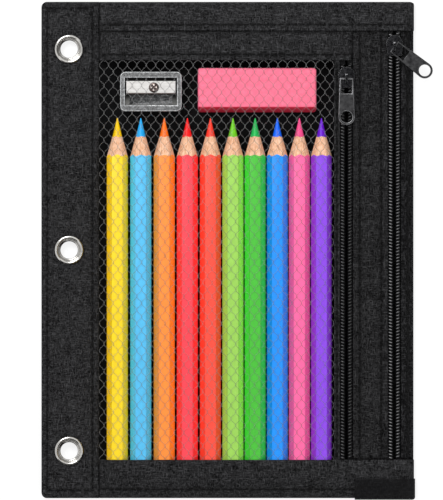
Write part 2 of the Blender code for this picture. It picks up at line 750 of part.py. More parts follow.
def build_spine(fabric, plastic, nickel):
    """The folded sleeve, the strip inside it, and the eyelets with their washers."""
    places = [(EYELET_X, step * EYELET_PITCH) for step in (1, 0, -1)]
    hole = EYELET_HOLE / 2
    holes = [circle(x, y, hole, ROUND_STEPS) for x, y in places]
    across = (LEFT, SPINE_SEAM - HALF_GAP)
    edge = rounded_rectangle(across, (BOTTOM, TOP), SPINE_CORNER, right_corners=False)
    sleeve = punched_plate(
        "spine_strip",
        [edge, *holes],
        SPINE_BOTTOM,
        SPINE_TOP,
        fabric,
    )
    inside_low = SPINE_BOTTOM + SHELL_FABRIC
    inside_high = SPINE_TOP - SHELL_FABRIC
    pocket = block(
        "spine_pocket_cut",
        (LEFT + STIFFENER_SIDE_ROOM - FIT_GAP, SPINE_SEAM + CUT_OVERRUN),
        (BOTTOM + STIFFENER_END_ROOM - FIT_GAP, TOP - STIFFENER_END_ROOM + FIT_GAP),
        (inside_low, inside_high),
    )
    combine(sleeve, pocket, "DIFFERENCE")
    punched_plate(
        "spine_stiffener",
        [
            rounded_rectangle(
                (LEFT + STIFFENER_SIDE_ROOM, SPINE_SEAM - STIFFENER_SIDE_ROOM),
                (BOTTOM + STIFFENER_END_ROOM, TOP - STIFFENER_END_ROOM),
                STIFFENER_CORNER,
            ),
            *holes,
        ],
        inside_low + FIT_GAP,
        inside_high - FIT_GAP,
        plastic,
    )

    bore = EYELET_BORE / 2
    barrel = bore + EYELET_WALL
    rim = EYELET_OUTSIDE / 2
    head = SPINE_TOP + FIT_GAP
    washer_top = SPINE_BOTTOM - FIT_GAP
    washer_bottom = washer_top - WASHER_THICKNESS
    roll_top = washer_bottom - FIT_GAP
    head_points = [
        (between(bore, rim, out), head + EYELET_HEAD * rise) for out, rise in EYELET_HEAD_SHARES
    ]
    roll_points = [
        (barrel + EYELET_ROLL_WIDTH * out, roll_top - EYELET_ROLL_HEIGHT * down)
        for out, down in EYELET_ROLL_SHARES
    ]
    profile = [
        *head_points,
        (rim, head),
        (barrel, head),
        *roll_points,
        (bore, roll_top - EYELET_ROLL_HEIGHT * EYELET_LIP_SHARE),
    ]
    washer_profile = [
        (hole, washer_top),
        (hole, washer_bottom),
        (rim, washer_bottom),
        (rim, washer_top),
    ]
    for place, (x, y) in zip(("top", "middle", "bottom"), places):
        eyelet = turned("eyelet_" + place, profile, ROUND_STEPS, nickel)
        eyelet.location = (x, y, 0.0)
        washer = turned("eyelet_washer_" + place, washer_profile, ROUND_STEPS, nickel)
        washer.location = (x, y, 0.0)


def comb_outline(side, low, high, first_tooth):
    """One row of the chain from above: a rail with teeth towards the slot."""
    outer = side * (SLOT_WIDTH / 2 + ROW_WIDTH)
    root = side * (SLOT_WIDTH / 2 + TOOTH_DEPTH)
    tip = side * SLOT_WIDTH / 2
    outline = [(outer, high), (outer, low), (root, low)]
    half_root = TOOTH_PITCH * TOOTH_SHARE / 2
    half_tip = TOOTH_PITCH * TOOTH_TIP_SHARE / 2
    middle = low + first_tooth
    while middle + half_root < high:
        outline.append((root, middle - half_root))
        outline.append((tip, middle - half_tip))
        outline.append((tip, middle + half_tip))
        outline.append((root, middle + half_root))
        middle += TOOTH_PITCH
    outline.append((root, high))
    return outline


def build_zip(prefix, x, level, low, high, tape_material, row_material):
    """Two tapes and two toothed rows, with the slot that the slider's post runs in."""
    outer = CHANNEL_HALF + TAPE_LAP
    inner = SLOT_WIDTH / 2
    for side, word in ((-1, "left"), (1, "right")):
        edges = sorted((x + side * inner, x + side * outer))
        block(
            f"{prefix}_zip_tape_{word}",
            edges,
            (low - END_LEDGE + FIT_GAP, high + END_LEDGE - FIT_GAP),
            (level - TAPE_THICKNESS / 2, level + TAPE_THICKNESS / 2),
            tape_material,
        )
        first_tooth = TOOTH_PITCH * (0.5 if side < 0 else 1.0)
        outline = comb_outline(side, low + FIT_GAP, high - FIT_GAP, first_tooth)
        row = flat_plate(f"{prefix}_zip_coil_{word}", outline, ROW_BOTTOM, ROW_TOP, row_material)
        row.location = (x, 0.0, level)


def slider_outline(width):
    """A slider's wing from above: a round nose to +Y and a narrower tail."""
    half_wide = width / 2
    half_long = SLIDER_LENGTH / 2
    shares = (*SLIDER_TAIL_SHARES, *SLIDER_NOSE_SHARES)
    right = [(half_wide * out, half_long * up) for out, up in shares]
    left = [(-x, y) for x, y in reversed(right)]
    return right + left


def arch_outline():
    """The bridge from the side: an arched strap, its feet sunk in the upper wing."""
    half_in = BRIDGE_SPAN / 2 - BRIDGE_THICKNESS / 2
    half_out = half_in + BRIDGE_THICKNESS
    foot = PLATE_TOP - SLIDER_PLATE / 2
    inner_top = PLATE_TOP + BRIDGE_HEIGHT
    shoulders = [
        (
            side * (half_in + BRIDGE_THICKNESS * math.cos(turn)),
            inner_top + BRIDGE_THICKNESS * math.sin(turn),
        )
        for side, turns in (
            (-1, spread(0.0, math.pi / 2, BRIDGE_STEPS // 2)),
            (1, spread(math.pi / 2, 0.0, BRIDGE_STEPS // 2)),
        )
        for turn in turns
    ]
    inside = [(half_in, foot), (half_in, inner_top), (-half_in, inner_top), (-half_in, foot)]
    return [(-half_out, foot), *shoulders, (half_out, foot), *inside]


def build_slider(name, x, y, level, surface):
    """A slider as one casting: two wings, flanges, the post between them and the pull's bridge."""
    half_long = SLIDER_LENGTH / 2
    wing = flat_plate(name, slider_outline(SLIDER_WIDTH), PLATE_BOTTOM, PLATE_TOP, surface)
    edge = wing.modifiers.new("edge", "BEVEL")
    edge.width = SLIDER_PLATE_BEVEL
    edge.segments = 1
    edge.limit_method = "ANGLE"
    sunk = PLATE_BOTTOM + SLIDER_PLATE / 2
    low_wing_top = -(TAPE_THICKNESS / 2 + FIT_GAP)
    low_wing_bottom = low_wing_top - SLIDER_PLATE
    flange_bottom = FABRIC_OVER_TAPE + FIT_GAP
    flange_out = SLIDER_WIDTH / 2 * SLIDER_TAIL_SHARES[1][0] - FLANGE_INSET
    flange_in = CHANNEL_HALF
    flange_top_y = half_long * FLANGE_END_SHARE
    flange_low_y = half_long * SLIDER_TAIL_SHARES[1][1] + FLANGE_INSET
    for side, word in ((-1, "left"), (1, "right")):
        flange = block(
            f"{name}_flange_{word}_tool",
            sorted((side * flange_in, side * flange_out)),
            (flange_low_y, flange_top_y),
            (flange_bottom, sunk),
        )
        flange.location = (x, y, level)
        combine(wing, flange, "UNION")
    post_from = half_long * POST_FROM_SHARE
    post_to = half_long * POST_TO_SHARE
    post_middle = (post_from + post_to) / 2
    post = flat_plate(
        name + "_post_tool",
        [(0.0, post_from), (POST_WIDTH / 2, post_middle), (0.0, post_to), (-POST_WIDTH / 2, post_middle)],
        (low_wing_top + low_wing_bottom) / 2,
        sunk,
    )
    post.location = (x, y, level)
    combine(wing, post, "UNION")
    low_wing = flat_plate(
        name + "_low_wing_tool",
        slider_outline(SLIDER_WIDTH),
        low_wing_bottom,
        low_wing_top,
    )
    low_wing.location = (x, y, level)
    combine(wing, low_wing, "UNION")
    bridge = flat_plate(
        name + "_bridge_tool",
        arch_outline(),
        -BRIDGE_WIDTH / 2,
        BRIDGE_WIDTH / 2,
    )
    bridge.data.transform(Matrix.Rotation(math.pi / 2, 4, "Z") @ Matrix.Rotation(math.pi / 2, 4, "X"))
    bridge.location = (x, y - BRIDGE_SETBACK, level)
    combine(wing, bridge, "UNION")
    wing.location = (x, y, level)
    return wing


def build_pull(name, slider, turn, surface):
    """A flat pull, hung on its bar under the slider's bridge; its origin is on the bar's axis."""
    neck = PULL_NECK_WIDTH / 2
    ring = PULL_RING_WIDTH / 2
    bar = PULL_BAR / 2
    window = PULL_WINDOW_WIDTH / 2
    ring_turns = spread(math.tau, math.pi, PULL_RING_STEPS // 2)
    ring_end = [
        (ring * math.cos(angle), -PULL_RING_DISTANCE + ring * math.sin(angle)) for angle in ring_turns
    ]
    outline = [(-neck, bar), (neck, bar), *ring_end]
    opening = [
        (-window, -bar),
        (-window, -bar - PULL_WINDOW_LENGTH),
        (window, -bar - PULL_WINDOW_LENGTH),
        (window, -bar),
    ]
    hole = circle(0.0, -PULL_RING_DISTANCE, PULL_RING_HOLE / 2, PULL_RING_STEPS)
    pull = punched_plate(name, [outline, opening, hole], -PULL_THICKNESS / 2, PULL_THICKNESS / 2, surface)
    edge = pull.modifiers.new("edge", "BEVEL")
    edge.width = PULL_BEVEL
    edge.segments = 1
    edge.limit_method = "ANGLE"
    pull.parent = slider
    pull.location = (0.0, -BRIDGE_SETBACK, PLATE_TOP + HINGE_HEIGHT)
    pull.rotation_euler = (0.0, 0.0, turn)
    return pull


def build_pencils():
    """Ten sharpened pencils: a six-sided barrel cut by the sharpener's cone, and its lead."""
    low = PENCIL_LOW
    tip = PENCIL_TIP
    point_end = tip - PENCIL_POINT_LENGTH
    slope = (PENCIL_POINT_WIDTH - PENCIL_TIP_WIDTH) / 2 / PENCIL_POINT_LENGTH
    wide = PENCIL_CORNERS / 2 + CUT_OVERRUN
    wood_tip = PENCIL_POINT_WIDTH / 2 + FIT_GAP
    wood_end = point_end - FIT_GAP / slope
    cone_end = wood_end - (wide - wood_tip) / slope
    socket = PENCIL_POINT_WIDTH / 2
    lead_radius = socket - FIT_GAP
    socket_end = wood_end - PENCIL_SOCKET_DEPTH

    barrel = rod("pencil_barrel_tool", PENCIL_CORNERS / 2, low, tip, steps=6)
    barrel.data.transform(Matrix.Rotation(math.pi / 6, 4, "Z"))
    envelope = turned(
        "pencil_envelope_tool",
        [
            (0.0, low - CUT_OVERRUN),
            (wide, low - CUT_OVERRUN),
            (wide, cone_end),
            (wood_tip, wood_end),
            (socket, wood_end),
            (socket, socket_end),
            (0.0, socket_end),
        ],
        PENCIL_STEPS,
    )
    combine(barrel, envelope, "INTERSECT")
    barrel_mesh = settled_mesh(barrel)
    lead = turned(
        "pencil_lead_tool",
        [
            (0.0, socket_end + FIT_GAP),
            (lead_radius, socket_end + FIT_GAP),
            (lead_radius, wood_end + FIT_GAP),
            (socket, wood_end + FIT_GAP),
            (PENCIL_TIP_WIDTH / 2, tip),
            (0.0, tip),
        ],
        LEAD_STEPS,
    )
    lead_mesh = settled_mesh(lead)
    lie_down = Matrix.Rotation(-math.pi / 2, 4, "X")
    for mesh in (barrel_mesh, lead_mesh):
        mesh.transform(lie_down)
        mesh.materials.clear()
    for helper in (barrel, envelope, lead):
        bpy.data.objects.remove(helper, do_unlink=True)
    for number, (word, colour) in enumerate(PENCIL_COLOURS):
        play = PENCIL_PLAY * sum(PENCIL_PLAY_SHARES[:number])
        place = (FIRST_PENCIL_X + number * PENCIL_CORNERS + play, 0.0, PENCIL_AXIS_Z)
        painted = place_mesh(f"pencil_{word}", barrel_mesh, material(f"paint_{word}", colour, 0.4))
        painted.location = place
        core = place_mesh(f"pencil_lead_{word}", lead_mesh, material(f"lead_{word}", colour, 0.6))
        core.location = place


def build_eraser(surface):
    """A block eraser, left bare."""
    eraser = block(
        "eraser",
        (ERASER_LEFT, ERASER_RIGHT),
        (ERASER_LOW, ERASER_HIGH),
        (PENCIL_SEAT, PENCIL_SEAT + ERASER_HEIGHT),
        surface,
    )
    edge = eraser.modifiers.new("edge", "BEVEL")
    edge.width = ERASER_ROUNDING
    edge.segments = ERASER_ROUNDING_STEPS


def build_sharpener(clear, steel):
    """A clear block with a cone for the pencil, a blade in its recess and the blade's screw."""
    left = SHARPENER_LEFT
    right = SHARPENER_RIGHT
    base = PENCIL_SEAT
    top = base + SHARPENER_HEIGHT
    floor = top - SHARPENER_RECESS
    body = flat_plate(
        "sharpener_body",
        rounded_rectangle((left, right), (SHARPENER_LOW, SHARPENER_HIGH), SHARPENER_CORNER),
        base,
        top,
        clear,
    )
    recess = block(
        "sharpener_recess_cut",
        (left + SHARPENER_WALL, right - SHARPENER_WALL),
        (RECESS_LOW, RECESS_HIGH),
        (floor, top + CUT_OVERRUN),
    )
    combine(body, recess, "DIFFERENCE")

    bore_y = RECESS_LOW + FIT_GAP + SHARPENER_BORE_MOUTH / 2
    bore_z = base + SHARPENER_BORE_RISE
    bore_slope = (SHARPENER_BORE_MOUTH - SHARPENER_BORE_END) / 2 / SHARPENER_BORE_LENGTH
    bore = rod(
        "sharpener_bore_cut",
        SHARPENER_BORE_MOUTH / 2 + bore_slope * CUT_OVERRUN,
        -CUT_OVERRUN,
        SHARPENER_BORE_LENGTH,
        end_radius=SHARPENER_BORE_END / 2,
    )
    bore.data.transform(Matrix.Rotation(math.pi / 2, 4, "Y"))
    bore.location = (left, bore_y, bore_z)
    combine(body, bore, "DIFFERENCE")

    chip_mouth = block(
        "sharpener_chip_cut",
        (left + 2 * SHARPENER_WALL, right - 2 * SHARPENER_WALL),
        (RECESS_LOW + FIT_GAP, RECESS_LOW + FIT_GAP + CHIP_MOUTH_WIDTH),
        (bore_z, floor + FIT_GAP),
    )
    combine(body, chip_mouth, "DIFFERENCE")

    blade_low = BLADE_LOW
    blade_middle = blade_low + BLADE_WIDTH / 2
    blade_bottom = floor + FIT_GAP
    blade_top = blade_bottom + BLADE_THICKNESS
    screw_x = (left + right) / 2 + SCREW_OFFSET
    screw_hole = SCREW_SHANK / 2 + FIT_GAP
    screw_cut = rod("sharpener_screw_cut", screw_hole, -SCREW_LENGTH - FIT_GAP, CUT_OVERRUN)
    screw_cut.location = (screw_x, blade_middle, blade_top + FIT_GAP)
    combine(body, screw_cut, "DIFFERENCE")
    punched_plate(
        "sharpener_blade",
        [
            [
                (BLADE_LEFT, blade_low),
                (BLADE_RIGHT, blade_low),
                (BLADE_RIGHT, blade_low + BLADE_WIDTH),
                (BLADE_LEFT, blade_low + BLADE_WIDTH),
            ],
            circle(screw_x, blade_middle, screw_hole, ROUND_STEPS // 2),
        ],
        blade_bottom,
        blade_top,
        steel,
    )
    shank = SCREW_SHANK / 2
    head = SCREW_HEAD_WIDTH / 2
    screw = turned(
        "sharpener_screw",
        [
            (0.0, -SCREW_LENGTH),
            (shank, -SCREW_LENGTH),
            (shank, 0.0),
            *[(head * out, SCREW_HEAD_HEIGHT * up) for out, up in SCREW_HEAD_SHARES],
        ],
        ROUND_STEPS // 2,
        steel,
    )
    screw.location = (screw_x, blade_middle, blade_top + FIT_GAP)


def build_pouch():
    fabric = material("pouch_fabric", (0.012, 0.012, 0.013), 0.85)
    net = material("window_net", (0.020, 0.020, 0.021), 0.8)
    label = material("label_cloth", (0.008, 0.008, 0.009), 0.7)
    tape = material("zip_tape", (0.008, 0.008, 0.009), 0.9)
    coil = material("zip_coil", (0.030, 0.030, 0.032), 0.4)
    slider_metal = material("slider_metal", (0.060, 0.060, 0.065), 0.35, metallic=1.0)
    nickel = material("eyelet_nickel", (0.62, 0.61, 0.58), 0.2, metallic=1.0)
    plastic = material("stiffener_plastic", (0.05, 0.05, 0.05), 0.5)
    rubber = material("eraser_vinyl", (0.93, 0.22, 0.33), 0.6)
    clear = material("sharpener_plastic", (0.62, 0.63, 0.65), 0.1, alpha=0.5)
    steel = material("blade_steel", (0.68, 0.67, 0.66), 0.25, metallic=1.0)

    build_panels(fabric)
    build_label(label)
    build_net(net)
    build_spine(fabric, plastic, nickel)
    build_zip("front", FRONT_ZIP_X, FRONT_ZIP_LEVEL, WINDOW_BOTTOM, WINDOW_TOP, tape, coil)
    build_zip("main", MAIN_ZIP_X, MAIN_ZIP_LEVEL, WINDOW_BOTTOM, BINDING_EDGE, tape, coil)
    front_slider = build_slider("front_slider", FRONT_ZIP_X, FRONT_SLIDER_Y, FRONT_ZIP_LEVEL, slider_metal)
    build_pull("front_pull", front_slider, 0.0, slider_metal)
    main_slider = build_slider("main_slider", MAIN_ZIP_X, MAIN_SLIDER_Y, MAIN_ZIP_LEVEL, slider_metal)
    build_pull("main_pull", main_slider, MAIN_PULL_TURN, slider_metal)
    build_pencils()
    build_eraser(rubber)
    build_sharpener(clear, steel)


clear_scene()
PARTS = new_collection(COLLECTION_NAME)
CUTTERS = new_collection("cutters")
build_pouch()
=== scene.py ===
"""Looks of the zipped pencil pouch: its cloth, net, zips, metal, and what shows through the net.

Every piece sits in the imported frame: +X is the photo's right, +Y its top and +Z the pouch's front.
Lengths are in metres.
"""
import math

import bmesh
import bpy
import numpy as np
from mathutils import Matrix, Vector, noise


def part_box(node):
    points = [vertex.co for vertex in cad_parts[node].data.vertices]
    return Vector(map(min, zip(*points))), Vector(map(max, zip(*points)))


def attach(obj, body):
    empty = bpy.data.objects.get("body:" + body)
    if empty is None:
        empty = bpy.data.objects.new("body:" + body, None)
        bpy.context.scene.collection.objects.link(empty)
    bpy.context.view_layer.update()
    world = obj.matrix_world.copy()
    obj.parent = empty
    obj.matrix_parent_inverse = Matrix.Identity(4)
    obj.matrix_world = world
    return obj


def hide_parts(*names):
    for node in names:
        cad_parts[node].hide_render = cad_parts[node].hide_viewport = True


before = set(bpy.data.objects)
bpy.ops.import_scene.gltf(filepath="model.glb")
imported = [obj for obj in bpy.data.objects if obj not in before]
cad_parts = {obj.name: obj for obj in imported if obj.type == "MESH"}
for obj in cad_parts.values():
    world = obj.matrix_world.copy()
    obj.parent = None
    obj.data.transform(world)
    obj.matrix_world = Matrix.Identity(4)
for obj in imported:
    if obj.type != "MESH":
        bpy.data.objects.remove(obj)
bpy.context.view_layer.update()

BODY = "pouch"
EYELETS = ("top", "middle", "bottom")
GAP = 0.0003
HALF_GAP = GAP / 2
MERGE = 0.000002

# The photograph's frame: its size in pixels, and the place that its middle shows
PHOTO_PIXELS = (443, 500)
PIXEL = 0.0005375
PHOTO_MIDDLE = (-0.0032, 0.0)
PHOTO_LEVEL = 0.004
CAMERA_HEIGHT = 5.0
CAMERA_SIGHT = 20.0
SENSOR = 36.0

# What stands round the pouch: the floor, the soft lights, and the dark screen that the metal mirrors
FLOOR_HALF = 3.0
FLOOR_DROP = 0.0002
FLOOR_GLOW = 0.78
FLOOR_SHADE = (0.26, 0.26, 0.26, 1.0)
FLOOR_BOUNCE = (0.8, 0.8, 0.8, 1.0)
ROOM_LIGHT = 0.56
SCREEN_REACH = 0.6
SCREEN_HEIGHT = 0.95
SCREEN_FOOT = 0.02
SCREEN_START = math.radians(-140.0)
SCREEN_END = math.radians(50.0)
SOFTBOXES = (
    ("key_softbox", (-0.35, 0.55, 0.85), 0.45, 7.0),
    ("fill_softbox", (0.6, -0.3, 0.8), 0.6, 3.0),
)

# Edges of the pouch and its bands, read from the frame
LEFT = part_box("spine_strip")[0].x
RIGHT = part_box("right_strip")[1].x
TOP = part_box("top_binding")[1].y
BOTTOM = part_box("bottom_band")[0].y
SPINE_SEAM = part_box("spine_strip")[1].x + HALF_GAP
BINDING_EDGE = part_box("top_binding")[0].y - HALF_GAP
WINDOW_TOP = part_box("mesh_window")[1].y + HALF_GAP
WINDOW_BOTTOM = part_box("mesh_window")[0].y - HALF_GAP
WINDOW_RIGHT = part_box("mesh_window_right_side")[1].x + HALF_GAP
SIDE_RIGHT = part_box("window_side_band")[1].x
CENTRE_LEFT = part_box("centre_band")[0].x - HALF_GAP
CENTRE_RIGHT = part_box("centre_band")[1].x
STRIP_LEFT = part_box("right_strip")[0].x
FIRST_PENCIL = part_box("pencil_yellow")
LAST_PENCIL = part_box("pencil_purple")
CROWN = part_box("mesh_window")[1].z

# Height of the front cloth where it bends, and how it falls to the pressed edge
SEAM_HEIGHT = 0.0051
EDGE_HEIGHT = 0.0046
FRONT_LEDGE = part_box("window_side_band")[1].z
MAIN_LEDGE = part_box("right_strip")[1].z
LEDGE = 0.0027
END_LEDGE = 0.0019
CREST_ROOM = 0.0010
RIM = 0.0022
RIM_LOW = 0.42 * EDGE_HEIGHT
SHOULDER = 0.00115
BEND_EASE = 0.0011
BACK_CLOTH = 0.0008
WALL_CLOTH = 0.0005
TAPE_CLOTH = 0.0004
SEAM_LIFT = 0.0019
SEAM_LANDING = 0.0010
SEAM_LIFT_WIDTH = 0.0036

# Finishes: an uneven grain, the depth of a weave's relief and of a lacquer's, and how dark the painted
# shade at a seam makes the cloth
GRAIN = {"Scale": 1.0, "Detail": 3.0, "Roughness": 0.6}
WEAVE_RELIEF = 0.00012
LACQUER_RELIEF = 0.00003
PAINTED_SEAM_SHADE = 0.82

# Cloth: its thickness, its rounded folds and its softness
CLOTH = 0.00026
FOLD_RADIUS = 0.00035
FOLD_TUCK = 0.0022
FOLD_LANDING = 0.0010
BEND_LANDING = 0.0008
BAND_LANDING = 0.0035
FOLD_TURNS = (0, 35, 65, 90, 115, 145, 180)
RIM_TURNS = (0, 20, 40, 60, 75, 90)
TUCK_STEPS = (
    (-0.0030, 0.0), (-0.0018, 0.00022), (-0.0008, 0.00055), (0.0001, 0.00085), (0.0016, 0.00098)
)
TUCK_REACH = 0.0030
CELL = 0.0014
WALL_CELLS = (0.0025, 0.004)
LINING_CELLS = (0.002, 0.003)
TAPE_CELLS = (0.0006, 0.0030)
CORNER = 0.0018
LABEL_CORNER = 0.0007
LABEL_LIFT = GAP + 0.0006
BAND_LIFT = 0.0003
ROW_LEAST = 0.00025
# How deep a tuck dives before its painted shade is full
TUCK_PAINTED_SHADE = 0.0007
RIPPLE = 0.00026
RIPPLE_SIZE = 0.021

# Seams: their groove, their stitches, and how far each keeps from its band's edge and ends
SEAM_GROOVE = 0.00045
SEAM_WIDTH = 0.0007
SEAM_STEPS = (-0.0014, -0.0009, -0.0005, -0.0002, 0.0002, 0.0005, 0.0009, 0.0014)
STITCH_PITCH = 0.0038
STITCH_LENGTH = 0.0029
STITCH_WIDTH = 0.0007
STITCH_RISE = 0.0001
BINDING_HEM = 0.0032
WINDOW_HEM = 0.0031
CENTRE_HEM = 0.0036
STRIP_HEM = 0.0034
BOTTOM_HEM = 0.0048
SPINE_HEM = 0.0031
SPINE_TOP_HEM = 0.0035
SPINE_BOTTOM_HEM = 0.0042
SEAM_SPARE = 0.001
SEAM_START = SPINE_SEAM + 0.0008
SEAM_END = RIGHT - RIM - 0.0006
SEAM_FOOT = WINDOW_BOTTOM + SEAM_SPARE
SEAM_HEAD = BINDING_EDGE - SEAM_SPARE

# Spine sleeve: its rounded corners and long edge, and the holes for the eyelets
SLEEVE_CORNER = 0.0030
SLEEVE_ROLL = 0.0016
SLEEVE_STEPS = (0.0, 0.05, 0.2, 0.5, 1.0)
SLEEVE_CELL = 0.0008
SLEEVE_LEAST = 0.00007
SLEEVE_JOIN = 0.0004
SLEEVE_MERGE = 0.00001
EYELET_HOLE = 0.00555
CUTTER_LENGTH = 0.02

# Net: the real one's holes
NET_PITCH = 0.00505
NET_ROW = 0.00365
NET_WALL_SHARE = 0.36
NET_THREAD = 0.00017
NET_TWIN = 0.00016
NET_SAG = 0.0003

# Eyelets: their bore and wall, the funnel inside the roll, the end rolled over, and the painted shade in
# their creases, on the roll and in the funnel
EYELET_BORE = 0.00465
EYELET_WALL = 0.0006
ROLL_STEPS = 12
FUNNEL = ((0.14, 0.04), (0.24, 0.10), (0.36, 0.34), (0.55, 0.40), (0.78, 0.30), (1.0, 0.0))
BACK_ROLL = 0.0015
BACK_ROLL_HEIGHT = 0.0005
BACK_ROLL_FLAT = 0.0011
BACK_ROLL_EASE = 0.00015
CREASE_TURN = math.radians(135.0)
CREASE_WIDTH = 0.00022
LINE_TURN = math.radians(170.0)
LINE_WIDTH = 0.0002
CREASE_INSET = 0.0001
FUNNEL_EDGE = 0.0003

# Zip chain: a flattened spiral on each tape, and the painted highlight on its loops
COIL_PITCH = 0.00172
COIL_WIRE = 0.00031
COIL_POINTS = 12
COIL_PAINTED_GLINT = {("front", -1): 0.15, ("front", 1): 0.08, ("main", -1): 0.42, ("main", 1): 0.28}

# Solids with rounded edges: the least fold of such an edge, each rounding, and how far down a bridge's top
# the painted highlight reaches
EDGE_FOLD = math.radians(35.0)
SLIDER_ROUND = 0.0003
PULL_ROUND = 0.00017
WASHER_ROUND = 0.00012
BLOCK_ROUND = 0.0005
BRIDGE_HIGHLIGHT_DEPTH = 0.0007

# Pencils: their names, the lacquer of the upper face and a brighter one for the sides, which paints light
# on them, and the core's colour
PENCILS = (
    ("yellow", ("#F2D010", "#FFCC10"), "#F2C400"),
    ("sky_blue", ("#50B8E8", "#4CCCFF"), "#1CA8F0"),
    ("orange", ("#F88C34", "#FF962C"), "#FF7010"),
    ("coral", ("#F8404E", "#FF4040"), "#F41C1C"),
    ("red", ("#F84A38", "#FF4A34"), "#F83C28"),
    ("light_green", ("#96CC52", "#A4E85C"), "#6EC822"),
    ("green", ("#42B830", "#44D43E"), "#22B454"),
    ("blue", ("#088CF0", "#1090FF"), "#0864F4"),
    ("pink", ("#F8649E", "#FF6494"), "#F04C8A"),
    ("purple", ("#8640DE", "#8C3CDC"), "#6810CC"),
)
# How a pencil is cut: its point, the bare wood, the wavering edges between them, and its rounded ends
PENCIL_STEPS = 48
POINT_LENGTH = 0.0101
POINT_RADIUS = 0.0026
TIP_RADIUS = 0.0003
WOOD_LENGTH = 0.0100
SCALLOP = 0.0008
SCALLOP_WAVER = 0.00015
CORE_WAVER = 0.00022
BARREL_ROUND = 0.0003
BARREL_RING = 0.0600
LACQUER_EDGE = 0.0002
WOOD_LIP = 0.0001
CORE_GAP = 0.00002
TIP_LENGTH = 0.0003
TIP_ROUND = 0.00012
# The width over which the barrel passes into the sides' painted light
PAINTED_SIDE_BLEND = 0.0008

# Eraser and sharpener: the slant of the one and how far the painted shade on its side reaches, the blade,
# block, painted shadow on the recess floor and screw of the other
ERASER_SLANT = 0.0026
ERASER_ROUND = 0.0015
ERASER_SHADE_REACH = 0.0006
BLADE_BEVEL = 0.0007
BLADE_EDGE = 0.0001
BLOCK_TOP = 0.0001
BLOCK_WALL = 0.0025
BLOCK_END = 0.0031
SHELF_DEPTH = 0.0008
SHELF_START = 0.0033
SHELF_END = 0.0008
SHELF_WAVER = 1.4
SCREW_HEAD = 0.0008
SCREW_SKIRT = 0.0001
SCREW_SLOT_DEPTH = 0.0005
SCREW_CELLS = 28


def linear(colour):
    """An sRGB hex colour as linear red, green, blue and alpha."""
    parts = [int(colour[i : i + 2], 16) / 255 for i in (1, 3, 5)]
    return tuple(c / 12.92 if c <= 0.04045 else ((c + 0.055) / 1.055) ** 2.4 for c in parts) + (1.0,)


def tint(colour, shares):
    """A hex colour made darker or lighter by each share."""
    parts = [int(colour[i : i + 2], 16) for i in (1, 3, 5)]
    return ["#" + "".join(f"{min(255, round(part * share)):02X}" for part in parts) for share in shares]


def add(tree, kind, inputs=None, stops=None, **settings):
    """Add a node: inputs are values, or the outputs and nodes that feed it; stops are a ramp's colours."""
    made = tree.nodes.new(kind)
    for key, value in settings.items():
        setattr(made, key, value)
    for socket, value in (inputs or {}).items():
        if isinstance(value, bpy.types.Node):
            value = value.outputs[0]
        if isinstance(value, bpy.types.NodeSocket):
            tree.links.new(value, made.inputs[socket])
        else:
            made.inputs[socket].default_value = value
    if stops:
        elements = made.color_ramp.elements
        while len(elements) < len(stops):
            elements.new(1.0)
        for element, (place, colour) in zip(elements, stops):
            element.position = place
            element.color = linear(colour)
    return made


def finish(name, **sockets):
    """A material whose Principled shader's own sockets are set; colours are hex."""
    material = bpy.data.materials.new(name)
    material.use_nodes = True
    tree = material.node_tree
    shader = tree.nodes["Principled BSDF"]
    for key, value in sockets.items():
        socket = shader.inputs[key.replace("_", " ")]
        socket.default_value = linear(value) if isinstance(value, str) else value
    return material, tree, shader


def surface(tree, shader, colour, height=None, depth=0.0):
    """Feed a shader its colour, and a relief as deep as is given."""
    tree.links.new(colour, shader.inputs["Base Color"])
    if depth:
        bump = add(tree, "ShaderNodeBump", {"Height": height, "Strength": 0.5, "Distance": depth})
        tree.links.new(bump.outputs["Normal"], shader.inputs["Normal"])


def millimetres(tree, stretch=(1.0, 1.0, 1.0), offset=(0.0, 0.0, 0.0)):
    """The piece's own place in millimetres, stretched for a pattern."""
    place = add(tree, "ShaderNodeTexCoord").outputs["Object"]
    scale = [1000.0 * share for share in stretch]
    return add(tree, "ShaderNodeMapping", {"Vector": place, "Scale": scale, "Location": offset})


